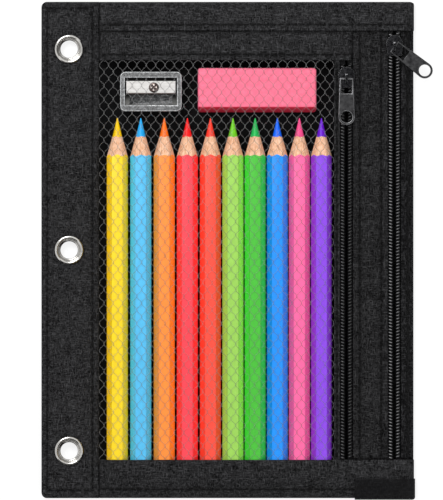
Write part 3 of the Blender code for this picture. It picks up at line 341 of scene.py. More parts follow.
def woven(name, ground, yarn, slub, weave_pitch=0.62, slub_share=0.75, roughness=0.88, specular=0.06):
    """A plain weave from two yarns: long slubs both ways, and a fine cross-rib in the bump."""
    material, tree, shader = finish(
        name, Roughness=roughness, Specular_IOR_Level=specular, Sheen_Weight=0.02, Sheen_Roughness=0.5
    )
    slubs = []
    ribs = []
    for direction, stretch, offset in (
        ("X", (0.32, 2.1, 0.9), (0.0, 0.0, 0.0)),
        ("Y", (2.1, 0.32, 0.9), (31.0, 17.0, 5.0)),
    ):
        uneven = {**GRAIN, "Vector": millimetres(tree, stretch, offset), "Roughness": 0.62}
        thick = {"Value": add(tree, "ShaderNodeTexNoise", uneven), "From Min": 0.50, "From Max": 0.74}
        slubs.append(add(tree, "ShaderNodeMapRange", thick, interpolation_type="SMOOTHSTEP"))
        bands = {"Vector": millimetres(tree), "Scale": 0.314 / weave_pitch}
        bands.update({"Distortion": 0.4, "Detail": 1.0})
        wave = add(tree, "ShaderNodeTexWave", bands, wave_type="BANDS", bands_direction=direction)
        ribs.append(wave.outputs["Fac"])
    most = add(tree, "ShaderNodeMath", dict(enumerate(slubs)), operation="MAXIMUM")
    amount = add(tree, "ShaderNodeMath", {0: most, 1: slub_share}, operation="MULTIPLY")

    cloudy = {**GRAIN, "Vector": millimetres(tree, (0.16, 0.16, 0.16)), "Detail": 2.0}
    flecked = {**GRAIN, "Vector": millimetres(tree, (1.15, 0.85, 0.9)), "Detail": 2.0, "Roughness": 0.75}
    cloud, fleck = (add(tree, "ShaderNodeTexNoise", inputs) for inputs in (cloudy, flecked))
    drift = add(tree, "ShaderNodeMix", {0: 0.7, 2: cloud, 3: fleck}, data_type="FLOAT")
    base = add(tree, "ShaderNodeValToRGB", {"Fac": drift}, stops=((0.39, ground), (0.6, yarn)))
    colour = add(tree, "ShaderNodeMix", {0: amount, 6: base, 7: linear(slub)}, data_type="RGBA")
    # The seam values are painted shade: in the stitch grooves, under a folded edge where the next band
    # tucks, and beside the spine's seam.
    seam = add(tree, "ShaderNodeAttribute", attribute_name="seam").outputs["Fac"]
    painted_shade_share = add(tree, "ShaderNodeMath", {0: seam, 1: PAINTED_SEAM_SHADE}, operation="MULTIPLY")
    with_painted_shade = {0: painted_shade_share, 6: colour.outputs[2], 7: linear("#020202")}
    drawn = add(tree, "ShaderNodeMix", with_painted_shade, data_type="RGBA")

    rib = add(tree, "ShaderNodeMath", dict(enumerate(ribs)), operation="MULTIPLY")
    relief = add(tree, "ShaderNodeMath", {0: rib, 1: most}, operation="ADD")
    surface(tree, shader, drawn.outputs[2], relief, WEAVE_RELIEF)
    return material


def mottled(name, colours, scale, stretch=(1.0, 1.0, 1.0), relief=0.0, crest=None, **sockets):
    """A surface whose colour drifts between the given hex stops, with a fine relief of the same grain.

    Where the mesh has crest values, they blend it into the crest colour; these paint light: highlights on
    the zip coils and the screw, shade and dark reflections on the eyelets.
    """
    material, tree, shader = finish(name, **sockets)
    height = add(
        tree, "ShaderNodeTexNoise", {**GRAIN, "Vector": millimetres(tree, stretch), "Scale": scale}
    )
    stops = [(0.3 + 0.4 * number / (len(colours) - 1), colour) for number, colour in enumerate(colours)]
    shown = add(tree, "ShaderNodeValToRGB", {"Fac": height}, stops=stops).outputs["Color"]
    if crest:
        high = add(tree, "ShaderNodeAttribute", attribute_name="crest").outputs["Fac"]
        blend = add(tree, "ShaderNodeMix", {0: high, 6: shown, 7: linear(crest)}, data_type="RGBA")
        shown = blend.outputs[2]
    surface(tree, shader, shown, height, relief)
    return material


def shelf_painted_shadow(name, stops, start, end):
    """Clear plastic with a painted shadow: grey from one height up the pouch, darkening with a wavering
    edge to black at another.
    """
    material, tree, shader = finish(name, Roughness=0.3, Specular_IOR_Level=0.05)
    place = add(tree, "ShaderNodeSeparateXYZ", {"Vector": millimetres(tree)})
    uneven = add(
        tree, "ShaderNodeTexNoise", {**GRAIN, "Vector": millimetres(tree, (1.6, 0.4, 1.0))}
    )
    waver = {0: uneven, 1: SHELF_WAVER, 2: place.outputs["Y"]}
    height = add(tree, "ShaderNodeMath", waver, operation="MULTIPLY_ADD")
    low, high = (1000.0 * edge + SHELF_WAVER / 2 for edge in (start, end))
    along = add(tree, "ShaderNodeMapRange", {"Value": height, "From Min": low, "From Max": high})
    ramp = add(tree, "ShaderNodeValToRGB", {"Fac": along}, stops=stops)
    surface(tree, shader, ramp.outputs["Color"])
    return material


def lacquer(word, colours):
    """A pencil's gloss lacquer: its own colour on the upper face, and a fuller, brighter one down its
    sides, painted light that lifts the side facets.
    """
    material, tree, shader = finish(
        "lacquered_barrel_" + word, Roughness=0.42, Specular_IOR_Level=0.35, Coat_Weight=0.1,
        Coat_Roughness=0.3,
    )
    upper, side_painted_light = (linear(colour) for colour in colours)
    side = add(tree, "ShaderNodeAttribute", attribute_name="side").outputs["Fac"]
    blend = add(tree, "ShaderNodeMix", {0: side, 6: upper, 7: side_painted_light}, data_type="RGBA")
    uneven = {**GRAIN, "Vector": millimetres(tree, (1.0, 0.25, 1.0)), "Scale": 0.5}
    height = add(tree, "ShaderNodeTexNoise", uneven)
    reach = {"Value": height, "From Min": 0.3, "From Max": 0.7, "To Min": 0.93, "To Max": 1.05}
    drift = add(tree, "ShaderNodeMapRange", reach)
    shown = add(tree, "ShaderNodeHueSaturation", {"Color": blend.outputs[2], "Value": drift})
    surface(tree, shader, shown.outputs["Color"], height, LACQUER_RELIEF)
    return material


def placed(name, data):
    """Put a new object with this data in the scene."""
    made = bpy.data.objects.new(name, data)
    bpy.context.scene.collection.objects.link(made)
    return made


def mesh_from(shape, name):
    """Turn a finished shape into a mesh."""
    mesh = bpy.data.meshes.new(name)
    shape.to_mesh(mesh)
    shape.free()
    return mesh


def piece(name, shape, materials, body=BODY, replaces=(), smooth=40.0):
    """Link a finished shape, dress it, and say which body it rides on and which solids it stands for."""
    mesh = mesh_from(shape, name)
    made = placed(name, mesh)
    for material in materials:
        mesh.materials.append(material)
    mesh.shade_smooth()
    mesh.set_sharp_from_angle(angle=math.radians(smooth))
    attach(made, body)
    if replaces:
        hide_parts(*replaces)
    return made


def evaluated(made):
    """The mesh that an object's curve or modifiers come to."""
    bpy.context.view_layer.update()
    return bpy.data.meshes.new_from_object(made.evaluated_get(bpy.context.evaluated_depsgraph_get()))


def closed(shape, least=MERGE):
    """Merge a shape's doubles, fill its holes and turn its faces outwards."""
    bmesh.ops.remove_doubles(shape, verts=shape.verts, dist=least)
    rim = [edge for edge in shape.edges if edge.is_boundary]
    if rim:
        bmesh.ops.holes_fill(shape, edges=rim, sides=0)
    bmesh.ops.recalc_face_normals(shape, faces=shape.faces)
    return shape


def wound(name, strands, wire, resolution):
    """Round thread or wire along each strand of points, as one shape."""
    curve = bpy.data.curves.new(name, "CURVE")
    curve.dimensions = "3D"
    curve.bevel_depth = wire
    curve.bevel_resolution = resolution
    curve.use_fill_caps = True
    for points in strands:
        spline = curve.splines.new("POLY")
        spline.points.add(len(points) - 1)
        for target, point in zip(spline.points, points):
            target.co = (*point, 1.0)
    holder = placed(name, curve)
    shape = bmesh.new()
    shape.from_mesh(evaluated(holder))
    bpy.data.objects.remove(holder)
    return closed(shape)


def laid(shape, columns, rows):
    """Make a grid in the shape, and give each of its vertices with its column and its row."""
    bmesh.ops.create_grid(shape, x_segments=len(columns) - 1, y_segments=len(rows) - 1, size=1.0)
    for vert in shape.verts:
        column = round((vert.co.x + 1.0) / 2 * (len(columns) - 1))
        row = round((vert.co.y + 1.0) / 2 * (len(rows) - 1))
        yield vert, columns[column], rows[row]


def verts_in(parts):
    """The vertices among the parts that an operator gives back."""
    return [part for part in parts if isinstance(part, bmesh.types.BMVert)]


def middle_of(low, high):
    """The middle of a box, as plain numbers."""
    return [(first + last) / 2 for first, last in zip(low, high)]


def between(start, end, share):
    return start + (end - start) * share


def spread(start, end, cell):
    """Places from start to end, about a cell apart."""
    steps = max(1, math.ceil(abs(end - start) / cell))
    return [between(start, end, step / steps) for step in range(steps + 1)]


def ease(share):
    share = min(max(share, 0.0), 1.0)
    return share * share * (3.0 - 2.0 * share)


def bell(distance, width):
    return math.exp(-((distance / width) ** 2))


PENCIL_LINES = [sum(corner.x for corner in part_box("pencil_" + word)) / 2 for word, _, _ in PENCILS]
foot_x = FIRST_PENCIL[0].x - CREST_ROOM
foot_z = (FIRST_PENCIL[0].z + FIRST_PENCIL[1].z) / 2 + CREST_ROOM / 2
FRONT_KNOTS = (
    (SPINE_SEAM, SEAM_HEIGHT),
    (foot_x, foot_z),
    (foot_x + (CROWN - foot_z) * math.tan(math.radians(30.0)), CROWN),
    (LAST_PENCIL[1].x - (LAST_PENCIL[1].x - LAST_PENCIL[0].x) / 4, CROWN),
    (WINDOW_RIGHT, FRONT_LEDGE),
    (CENTRE_LEFT + LEDGE, FRONT_LEDGE),
    (CENTRE_RIGHT - LEDGE, MAIN_LEDGE),
    (STRIP_LEFT + LEDGE, MAIN_LEDGE),
    (RIGHT - RIM, EDGE_HEIGHT + SHOULDER),
    (RIGHT, EDGE_HEIGHT),
)
KNOT_X, KNOT_Z = (list(values) for values in zip(*FRONT_KNOTS))
EASE_TAPS = np.linspace(-BEND_EASE, BEND_EASE, 7)


def fullness(x, y):
    """How full the pouch is along its height: 1 in the middle, 0 at the pressed ends."""
    share = min(max((x - CENTRE_LEFT) / (CENTRE_RIGHT - CENTRE_LEFT), 0.0), 1.0)
    top_start = between(WINDOW_TOP, BINDING_EDGE, share) + END_LEDGE
    bottom_start = WINDOW_BOTTOM - END_LEDGE
    if y > top_start:
        along = (y - top_start) / (TOP - RIM - top_start)
    elif y < bottom_start:
        along = (bottom_start - y) / (bottom_start - BOTTOM - RIM)
    else:
        return 1.0
    return 1.0 - min(along, 1.0) ** 2


def front_height(x, y):
    """Height of the front cloth's outer face, with its bends eased."""
    full = float(np.interp(x + EASE_TAPS, KNOT_X, KNOT_Z).mean())
    return EDGE_HEIGHT + (full - EDGE_HEIGHT) * fullness(x, y)


def ripple(x, y):
    """The cloth's own softness: low swells, and finer ones on them."""
    swell = noise.noise(Vector((x / RIPPLE_SIZE, y / RIPPLE_SIZE * 0.7, 3.1)))
    fine = noise.noise(Vector((x / RIPPLE_SIZE * 3.1, y / RIPPLE_SIZE * 3.3, 9.7)))
    return RIPPLE * (0.3 + 0.8 * swell + 0.35 * fine)


def groove(distance, along):
    """How far a seam draws the cloth down, most of all at the middle of each stitch."""
    stitch = 0.74 - 0.26 * math.cos(math.tau * along / STITCH_PITCH)
    return SEAM_GROOVE * bell(distance, SEAM_WIDTH) * stitch


def seam_depth(x, y, seams):
    """How deep the seams draw the cloth; each seam is its axis, place, start and end."""
    depth = 0.0
    for axis, place, start, end in seams:
        across, along = (x, y) if axis == "x" else (y, x)
        if start - SEAM_WIDTH <= along <= end + SEAM_WIDTH:
            depth = max(depth, groove(across - place, along - start))
    return depth


def thinned(places, least):
    """The places in order, without those too close to the one before."""
    ordered = sorted(places)
    kept = [ordered[0]]
    for place in ordered[1:]:
        if place - kept[-1] > least or place == ordered[-1]:
            kept.append(place)
    return kept


def refined(rows, seams, axis):
    """The rows, with more of them where a seam crosses the flat ones."""
    flat = [number for number, (_, drop, cap) in enumerate(rows) if drop == 0.0 and cap is None]
    first, last = flat[0], flat[-1]
    places = {row[0] for row in rows[first : last + 1]}
    for seam_axis, place, _, _ in seams:
        if seam_axis == axis:
            near = [place + step for step in SEAM_STEPS]
            places.update(spot for spot in near if rows[first][0] < spot < rows[last][0])
    middle = [(place, 0.0, None) for place in thinned(places, ROW_LEAST)]
    return [*rows[:first], *middle, *rows[last + 1 :]]


def rounded_corner(x, y, corner):
    """A place near the pouch's right corners, drawn in to their radius."""
    across = x - (RIGHT - corner)
    along = abs(y) - (TOP - corner)
    if across <= 0.0 or along <= 0.0:
        return x, y
    share = max(across, along) / math.hypot(across, along)
    return RIGHT - corner + across * share, math.copysign(TOP - corner + along * share, y)


def flat_rows(start, end, cell=CELL):
    """Rows that only follow the height: each is place, drop and cap."""
    return [(place, 0.0, None) for place in spread(start, end, cell)]


def folded_rows(edge, side):
    """Rows round a folded edge, from the cloth's face to the part turned under; side is where it faces."""
    rows = []
    for angle in map(math.radians, FOLD_TURNS):
        place = edge - side * FOLD_RADIUS * (1.0 - math.sin(angle))
        rows.append((place, FOLD_RADIUS * (1.0 - math.cos(angle)), None))
    rows.append((edge - side * FOLD_TUCK, 2 * FOLD_RADIUS, None))
    return rows


def tucked_rows(edge, side):
    """Rows that dive under the next band's folded edge."""
    return [(edge + side * place, drop, None) for place, drop in TUCK_STEPS]


def rim_rows(edge, side, lift=0.0):
    """Rows over the pouch's rounded edge and down to the back."""
    rows = []
    for angle in map(math.radians, RIM_TURNS):
        place = edge + side * (lift - RIM * (1.0 - math.sin(angle)))
        rows.append((place, 0.0, RIM_LOW + (EDGE_HEIGHT - RIM_LOW) * math.cos(angle) + lift))
    rows.append((edge + side * lift, 0.0, RIM_LOW / 2))
    rows.append((edge + side * lift, 0.0, lift / 2))
    return rows


def bend_rows(start, end):
    """Rows across the front, closer together where the cloth bends."""
    places = set(spread(start, end, CELL))
    for knot in KNOT_X:
        taps = [knot + tap * BEND_EASE for tap in (-1.0, -0.5, 0.0, 0.5, 1.0)]
        places.update(place for place in taps if start < place < end)
    return [(place, 0.0, None) for place in thinned(places, CELL / 5)]


def lay_cloth(name, xs, ys, material, node, height=front_height, seams=(), lift=0.0,
              thickness=CLOTH, soft=1.0, flap=1.0, corner=CORNER):
    """A sewn cloth piece on the pouch's form, with its folds, seams and softness.

    Where it passes the pouch's right edge, flap is how much of a row's drop draws it inwards there.
    """
    xs = refined(xs, seams, "x")
    ys = refined(ys, seams, "y")
    shape = bmesh.new()
    shade = shape.verts.layers.float.new("seam")
    for vert, (x, x_drop, x_cap), (y, y_drop, y_cap) in laid(shape, xs, ys):
        drop = max(x_drop, y_drop)
        drawn = seam_depth(x, y, seams)
        # Painted shade: from the seam's groove, from how deep the cloth tucks under the folded edge above
        # it, and in a band beside the spine's seam.
        painted_shades = (drawn / SEAM_GROOVE, (drop / TUCK_PAINTED_SHADE) ** 1.6, 0.8 - (x - SPINE_SEAM) / CELL)
        vert[shade] = min(1.0, max(painted_shades))
        z = height(x, y) + lift - drawn + soft * ripple(x, y)
        z = min([z] + [cap for cap in (x_cap, y_cap) if cap is not None])
        if x_cap is not None:
            steep = min(1.0, max(0.0, (x - RIGHT + RIM) / RIM))
            x -= drop * steep * flap
            drop *= 1.0 - steep
        vert.co = (*rounded_corner(x, y, corner), z - drop)
    bmesh.ops.remove_doubles(shape, verts=shape.verts, dist=MERGE)
    made = piece(name, shape, [material], replaces=[node], smooth=80.0)
    wall = made.modifiers.new("cloth", "SOLIDIFY")
    wall.thickness = thickness
    wall.offset = -1.0


def sew(name, seams, thread, height=front_height, soft=1.0):
    """The stitches of one or more seams: short threads lying in their groove."""
    shape = bmesh.new()
    size = Matrix.Diagonal((STITCH_LENGTH / 2, STITCH_WIDTH / 2, STITCH_WIDTH / 3, 1.0))
    for axis, place, start, end in seams:
        for number in range(int((end - start) / STITCH_PITCH)):
            along = start + (number + 0.5) * STITCH_PITCH
            x, y = (place, along) if axis == "x" else (along, place)
            z = height(x, y) - SEAM_GROOVE * 0.8 + STITCH_RISE + soft * ripple(x, y)
            ahead = (x, y + CELL) if axis == "x" else (x + CELL, y)
            rise = height(*ahead) - height(x, y)
            direction = Vector((ahead[0] - x, ahead[1] - y, rise)).normalized()
            turn = direction.to_track_quat("X", "Z").to_matrix().to_4x4()
            bmesh.ops.create_uvsphere(
                shape, u_segments=6, v_segments=4, radius=1.0,
                matrix=Matrix.Translation((x, y, z)) @ turn @ size,
            )
    piece(name, shape, [thread])


def build_bands(canvas, centre_band_painted_shade, right_strip_painted_shade, thread):
    """The bands that frame the net and the zips; the centre band and the right strip take darker copies of
    the canvas, painted shade that grows towards the right edge.
    """
    start = SPINE_SEAM + HALF_GAP
    across = [*bend_rows(start, RIGHT - RIM)[:-1], *rim_rows(RIGHT, 1, BAND_LIFT)]
    upright = [
        *reversed(tucked_rows(WINDOW_BOTTOM, -1)),
        *flat_rows(WINDOW_BOTTOM + BAND_LANDING, BINDING_EDGE - BAND_LANDING),
        *tucked_rows(BINDING_EDGE, 1),
    ]
    binding_seam = ("y", BINDING_EDGE + BINDING_HEM, SEAM_START, SEAM_END)
    window_seam = ("y", WINDOW_TOP + WINDOW_HEM, SEAM_START, CENTRE_LEFT - 0.0004)
    side_seam = ("x", (WINDOW_RIGHT + SIDE_RIGHT) / 2, SEAM_FOOT, WINDOW_TOP - SEAM_SPARE)
    centre_seams = (
        ("x", CENTRE_LEFT + CENTRE_HEM, SEAM_FOOT, SEAM_HEAD),
        ("x", CENTRE_RIGHT - CENTRE_HEM, SEAM_FOOT, SEAM_HEAD),
    )
    strip_seam = ("x", STRIP_LEFT + STRIP_HEM, SEAM_FOOT, SEAM_HEAD)
    bottom_seam = ("y", BOTTOM + BOTTOM_HEM, SEAM_START, SEAM_END)

    rows = flat_rows(BINDING_EDGE + FOLD_LANDING, TOP - RIM)[:-1]
    rows = [*reversed(folded_rows(BINDING_EDGE, -1)), *rows, *rim_rows(TOP, 1)]
    lay_cloth("top_edge_binding", across, rows, canvas, "top_binding", seams=(binding_seam,))

    columns = [*bend_rows(start, CENTRE_LEFT - TUCK_REACH)[:-1], *tucked_rows(CENTRE_LEFT, 1)]
    rows = flat_rows(WINDOW_TOP + FOLD_LANDING, BINDING_EDGE - TUCK_REACH)[:-1]
    rows = [*reversed(folded_rows(WINDOW_TOP, -1)), *rows, *tucked_rows(BINDING_EDGE, 1)]
    lay_cloth("net_top_band", columns, rows, canvas, "window_top_band", seams=(window_seam,))

    columns = [
        *reversed(folded_rows(WINDOW_RIGHT + HALF_GAP, -1)[:-1]),
        *flat_rows(WINDOW_RIGHT + FOLD_LANDING, SIDE_RIGHT - FOLD_LANDING, CELL / 2),
        *folded_rows(SIDE_RIGHT, 1)[:-1],
    ]
    rows = flat_rows(WINDOW_BOTTOM + HALF_GAP, WINDOW_TOP - HALF_GAP)
    lay_cloth("net_side_band", columns, rows, canvas, "window_side_band", seams=(side_seam,), soft=0.3)

    columns = [
        *reversed(folded_rows(CENTRE_LEFT, -1)),
        *bend_rows(CENTRE_LEFT + BEND_LANDING, CENTRE_RIGHT - BEND_LANDING),
        *folded_rows(CENTRE_RIGHT, 1),
    ]
    lay_cloth("centre_upright_band", columns, upright, centre_band_painted_shade, "centre_band", seams=centre_seams)

    columns = bend_rows(STRIP_LEFT + BEND_LANDING, RIGHT - RIM)[:-1]
    columns = [*reversed(folded_rows(STRIP_LEFT, -1)), *columns, *rim_rows(RIGHT, 1)]
    lay_cloth(
        "right_edge_strip", columns, upright, right_strip_painted_shade, "right_strip", seams=(strip_seam,), flap=0.0
    )

    rows = flat_rows(BOTTOM + RIM, WINDOW_BOTTOM - FOLD_LANDING)[1:]
    rows = [*reversed(rim_rows(BOTTOM, -1)), *rows, *folded_rows(WINDOW_BOTTOM, 1)]
    lay_cloth("bottom_edge_band", across, rows, canvas, "bottom_band", seams=(bottom_seam,))
    seams = [binding_seam, window_seam, side_seam, *centre_seams, strip_seam, bottom_seam]
    sew("band_stitches", seams, thread)


def build_label(tape):
    """The bare sewn label over the bottom right corner."""
    low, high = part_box("label_tag")
    columns = [*bend_rows(low.x, RIGHT - RIM)[:-1], *rim_rows(RIGHT, 1, LABEL_LIFT)]
    rows = [*reversed(rim_rows(BOTTOM, -1, LABEL_LIFT)), *flat_rows(BOTTOM + RIM, high.y, CELL / 2)[1:]]
    lay_cloth(
        "bare_corner_label", columns, rows, tape, "label_tag", lift=LABEL_LIFT,
        soft=0.6, corner=LABEL_CORNER,
    )


def back_height(x, y):
    """The back's upper face: flat, rising to the spine's seam."""
    share = 1.0 - (x - SPINE_SEAM - SEAM_LANDING) / SEAM_LIFT_WIDTH
    return BACK_CLOTH + SEAM_LIFT * min(max(share, 0.0), 1.0) ** 2


def middle_height(x, y):
    """The wall between the pockets: flat under the pencils, then up to the centre band."""
    low = FIRST_PENCIL[0].z - GAP
    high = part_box("middle_panel")[1]
    share = max((x - WINDOW_RIGHT) / (high.x - WINDOW_RIGHT), 0.0)
    return low + back_height(x, y) - BACK_CLOTH + (high.z - low) * share * fullness(x, y)


def build_walls(canvas, lining):
    """The back panel and the wall between the two pockets."""
    for name, node, cloth, height, thickness, cells in (
        ("back_wall", "back_panel", canvas, back_height, BACK_CLOTH, WALL_CELLS),
        ("pocket_wall", "middle_panel", lining, middle_height, WALL_CLOTH, LINING_CELLS),
    ):
        low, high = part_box(node)
        columns = flat_rows(low.x, high.x, cells[0])
        rows = flat_rows(low.y, high.y, cells[1])
        lay_cloth(name, columns, rows, cloth, node, height=height, thickness=thickness, soft=0.0)


def sleeve_shape(low, high, seams):
    """The sleeve as one closed shape: its front, swelling from the rolled edges, and the same behind."""
    middle = (low.z + high.z) / 2
    half = (high.z - low.z) / 2
    xs = [low.x + SLEEVE_ROLL * s for s in SLEEVE_STEPS]
    xs += spread(low.x + SLEEVE_ROLL, high.x, SLEEVE_CELL)[1:]
    ys = [low.y + SLEEVE_ROLL * s for s in SLEEVE_STEPS]
    ys += spread(low.y + SLEEVE_ROLL, high.y - SLEEVE_ROLL, CELL)[1:-1]
    ys += [high.y - SLEEVE_ROLL * s for s in reversed(SLEEVE_STEPS)]
    xs += [place + step for axis, place, _, _ in seams if axis == "x" for step in SEAM_STEPS]
    ys += [place + step for axis, place, _, _ in seams if axis == "y" for step in SEAM_STEPS]
    shape = bmesh.new()
    shade = shape.verts.layers.float.new("seam")
    for vert, x, y in laid(shape, thinned(xs, SLEEVE_LEAST), thinned(ys, SLEEVE_LEAST)):
        share = min(min(x - low.x, y - low.y, high.y - y) / SLEEVE_ROLL, 1.0)
        swell = half * math.sqrt(max(0.0, 1.0 - (1.0 - share) ** 2))
        drawn = seam_depth(x, y, seams)
        # Painted shade in the stitch grooves
        vert[shade] = min(1.0, drawn / SEAM_GROOVE)
        if x > high.x - SLEEVE_JOIN:
            x = high.x + GAP * 0.9
            swell = min(swell, half * 0.5)
        corner_x = low.x + SLEEVE_CORNER
        corner_y = min(max(y, low.y + SLEEVE_CORNER), high.y - SLEEVE_CORNER)
        if x < corner_x and y != corner_y:
            reach = max(abs(x - corner_x), abs(y - corner_y))
            length = math.hypot(x - corner_x, y - corner_y)
            x = corner_x + (x - corner_x) * reach / length
            y = corner_y + (y - corner_y) * reach / length
        wave = 0.0 if share < 1.0 else ripple(x, y) * 0.5 - drawn * 0.8
        vert.co = (x, y, middle + swell + wave)
    back = bmesh.ops.duplicate(shape, geom=shape.verts[:] + shape.edges[:] + shape.faces[:])["geom"]
    for vert in verts_in(back):
        vert.co.z = 2 * middle - vert.co.z
    bmesh.ops.reverse_faces(shape, faces=[part for part in back if isinstance(part, bmesh.types.BMFace)])
    return closed(shape, SLEEVE_MERGE)


def build_spine(canvas, thread, strip_plastic):
    """The folded sleeve with its sewn edge, cut for the eyelets, and the stiffener inside it."""
    low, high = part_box("spine_strip")
    left, right = LEFT + SPINE_HEM, SPINE_SEAM - CENTRE_HEM
    lower, upper = BOTTOM + SPINE_BOTTOM_HEM, TOP - SPINE_TOP_HEM
    seams = (
        ("x", left, lower, upper), ("x", right, lower, upper), ("y", upper, left, right),
        ("y", lower, left, right),
    )
    sleeve = piece(
        "spine_sleeve", sleeve_shape(low, high, seams), [canvas], replaces=["spine_strip"],
        smooth=60.0,
    )
    cutters = []
    for place in EYELETS:
        centre = (*middle_of(*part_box("eyelet_" + place))[:2], middle_of(low, high)[2])
        hole = bmesh.new()
        bmesh.ops.create_cone(
            hole, cap_ends=True, segments=48, radius1=EYELET_HOLE, radius2=EYELET_HOLE, depth=CUTTER_LENGTH,
            matrix=Matrix.Translation(centre),
        )
        name = "hole_cutter_" + place
        cutters.append(placed(name, mesh_from(hole, name)))
        cut = sleeve.modifiers.new("hole_" + place, "BOOLEAN")
        cut.operation = "DIFFERENCE"
        cut.object = cutters[-1]
        cut.solver = "EXACT"
    mesh = evaluated(sleeve)
    sleeve.modifiers.clear()
    sleeve.data = mesh
    for cutter in cutters:
        bpy.data.objects.remove(cutter)
    mesh.shade_smooth()
    mesh.set_sharp_from_angle(angle=math.radians(60.0))
    sew("spine_stitches", seams, thread, height=lambda x, y: high.z, soft=0.5)
    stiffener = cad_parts["spine_stiffener"]
    if not stiffener.material_slots:
        stiffener.data.materials.append(strip_plastic)
    for slot in stiffener.material_slots:
        slot.link = "OBJECT"
        slot.material = strip_plastic


def net_height(x, y):
    """Height of the net's threads, sagging a little between the pencils."""
    sag = 0.0
    if PENCIL_LINES[0] < x < PENCIL_LINES[-1] and y < FIRST_PENCIL[1].y:
        turn = math.tau * np.interp(x, PENCIL_LINES, range(len(PENCILS)))
        sag = NET_SAG * (0.5 - 0.5 * math.cos(turn))
    return front_height(x, y) - FOLD_RADIUS - sag


def build_net(thread):
    """The net: pairs of threads that part and meet again, one hole and half a hole across in turn."""
    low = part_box("mesh_window_left_side")[0]
    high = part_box("mesh_window_right_side")[1]
    wall = NET_ROW * NET_WALL_SHARE
    rows = int((high.y - low.y) / NET_ROW) + 1
    columns = int((high.x - low.x) / NET_PITCH) + 2
    strands = []
    for column in range(columns):
        home = low.x + column * NET_PITCH
        for side in (-1, 1):
            bends = []
            for row in range(rows + 1):
                away = row % 2
                x = home + side * (NET_PITCH / 2 if away else 0.0)
                x += -side * NET_TWIN if away else side * NET_TWIN
                middle = low.y + row * NET_ROW
                if bends:
                    before = bends[-1]
                    for share in (1 / 3, 2 / 3):
                        lean = (share + 2 * ease(share)) / 3
                        rise = between(before[1], middle - wall / 2, share)
                        bends.append((between(before[0], x, lean), rise))
                bends.extend([(x, middle - wall / 2), (x, middle + wall / 2)])
            points = []
            for x, y in bends:
                x = min(max(x, low.x), high.x)
                y = min(max(y, low.y), high.y)
                if not points or (x, y) != points[-1][:2]:
                    points.append((x, y, net_height(x, y)))
            if points[0][0] == points[-1][0] and all(point[0] in (low.x, high.x) for point in points):
                continue
            strands.append(points)
    piece(
        "window_net_threads", wound("net_threads", strands, NET_THREAD, 0), [thread],
        replaces=["mesh_window", "mesh_window_left_side", "mesh_window_right_side"],
        smooth=80.0,
    )


def build_zip(prefix, tape_finish, coil_finish):
    """Both tapes and both spirals of one zip."""
    for side, word in ((-1, "left"), (1, "right")):
        tape = f"{prefix}_zip_tape_{word}"
        low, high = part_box(tape)
        lay_cloth(
            f"{prefix}_zip_{word}_tape", flat_rows(low.x, high.x, TAPE_CELLS[0]),
            flat_rows(low.y, high.y, TAPE_CELLS[1]), tape_finish, tape,
            height=lambda x, y, z=high.z: z, thickness=TAPE_CLOTH, soft=0.0,
        )
        row = f"{prefix}_zip_coil_{word}"
        low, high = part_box(row)
        half_wide = (high.x - low.x) / 2 - COIL_WIRE
        half_high = (high.z - low.z) / 2 - COIL_WIRE
        middle_x, _, middle_z = middle_of(low, high)
        turns = int((high.y - low.y - 2 * COIL_WIRE) / COIL_PITCH)
        start = low.y + COIL_WIRE + (COIL_PITCH / 2 if side > 0 else 0.0)
        points = []
        for number in range(turns * COIL_POINTS):
            angle = math.tau * number / COIL_POINTS
            out, up = math.cos(angle), math.sin(angle)
            x = middle_x - side * half_wide * math.copysign(abs(out) ** 0.7, out)
            z = middle_z + half_high * math.copysign(abs(up) ** 0.8, up)
            y = min(start + COIL_PITCH * number / COIL_POINTS, high.y - COIL_WIRE)
            points.append((x, y, z))
        shape = wound(row, [points], COIL_WIRE, 1)
        # Painted highlight: the crest values brighten the upper, left flank of each loop, towards the key
        # light, more on the main zip than on the front one.
        crest = shape.verts.layers.float.new("crest")
        for vert in shape.verts:
            rise = ease((vert.co.z - middle_z) / (half_high + COIL_WIRE) * 1.6 - 0.6)
            away = ease((vert.co.x - low.x) / (high.x - low.x) * 2.2 - 0.9)
            vert[crest] = rise * (1.0 - away) * COIL_PAINTED_GLINT[(prefix, side)]
        piece(
            f"{prefix}_zip_{word}_spiral", shape, [coil_finish], replaces=[row],
            smooth=80.0,
        )


def softened(node, name, width, materials, body=BODY, segments=3, pick=None, above=None):
    """A rigid solid's own form with its loose faces merged and its edges rounded.

    The second material, where there is one, dresses the rounded edges; pick gives a face's own, and
    above keeps the rounding to the edges over that height.
    """
    shape = bmesh.new()
    shape.from_mesh(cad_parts[node].data)
    bmesh.ops.remove_doubles(shape, verts=shape.verts, dist=MERGE * 2)
    bmesh.ops.dissolve_limit(shape, angle_limit=math.radians(1.0), verts=shape.verts, edges=shape.edges)
    edges = [
        edge for edge in shape.edges
        if len(edge.link_faces) == 2 and edge.calc_face_angle(0.0) > EDGE_FOLD
    ]
    if above is not None:
        edges = [edge for edge in edges if min(vert.co.z for vert in edge.verts) > above]
    bmesh.ops.bevel(
        shape, geom=edges, offset=width, offset_type="OFFSET", affect="EDGES", segments=segments,
        profile=0.5, material=1 if len(materials) > 1 else -1, clamp_overlap=above is None,
    )
    if pick:
        for face in shape.faces:
            face.material_index = pick(face)
    piece(name, shape, materials, body=body, replaces=[node], smooth=30.0)


def turned(profile, steps, centre):
    """Turn a closed profile of (radius, height) points round an upright line."""
    shape = bmesh.new()
    points = [shape.verts.new((radius, 0.0, height)) for radius, height in profile]
    for first, second in zip(points, points[1:] + points[:1]):
        shape.edges.new((first, second))
    bmesh.ops.spin(
        shape, geom=shape.verts[:] + shape.edges[:], cent=(0.0, 0.0, 0.0), axis=(0.0, 0.0, 1.0),
        angle=math.tau, steps=steps, use_merge=True,
    )
    closed(shape, MERGE / 2)
    bmesh.ops.translate(shape, verts=shape.verts, vec=centre)
    return shape


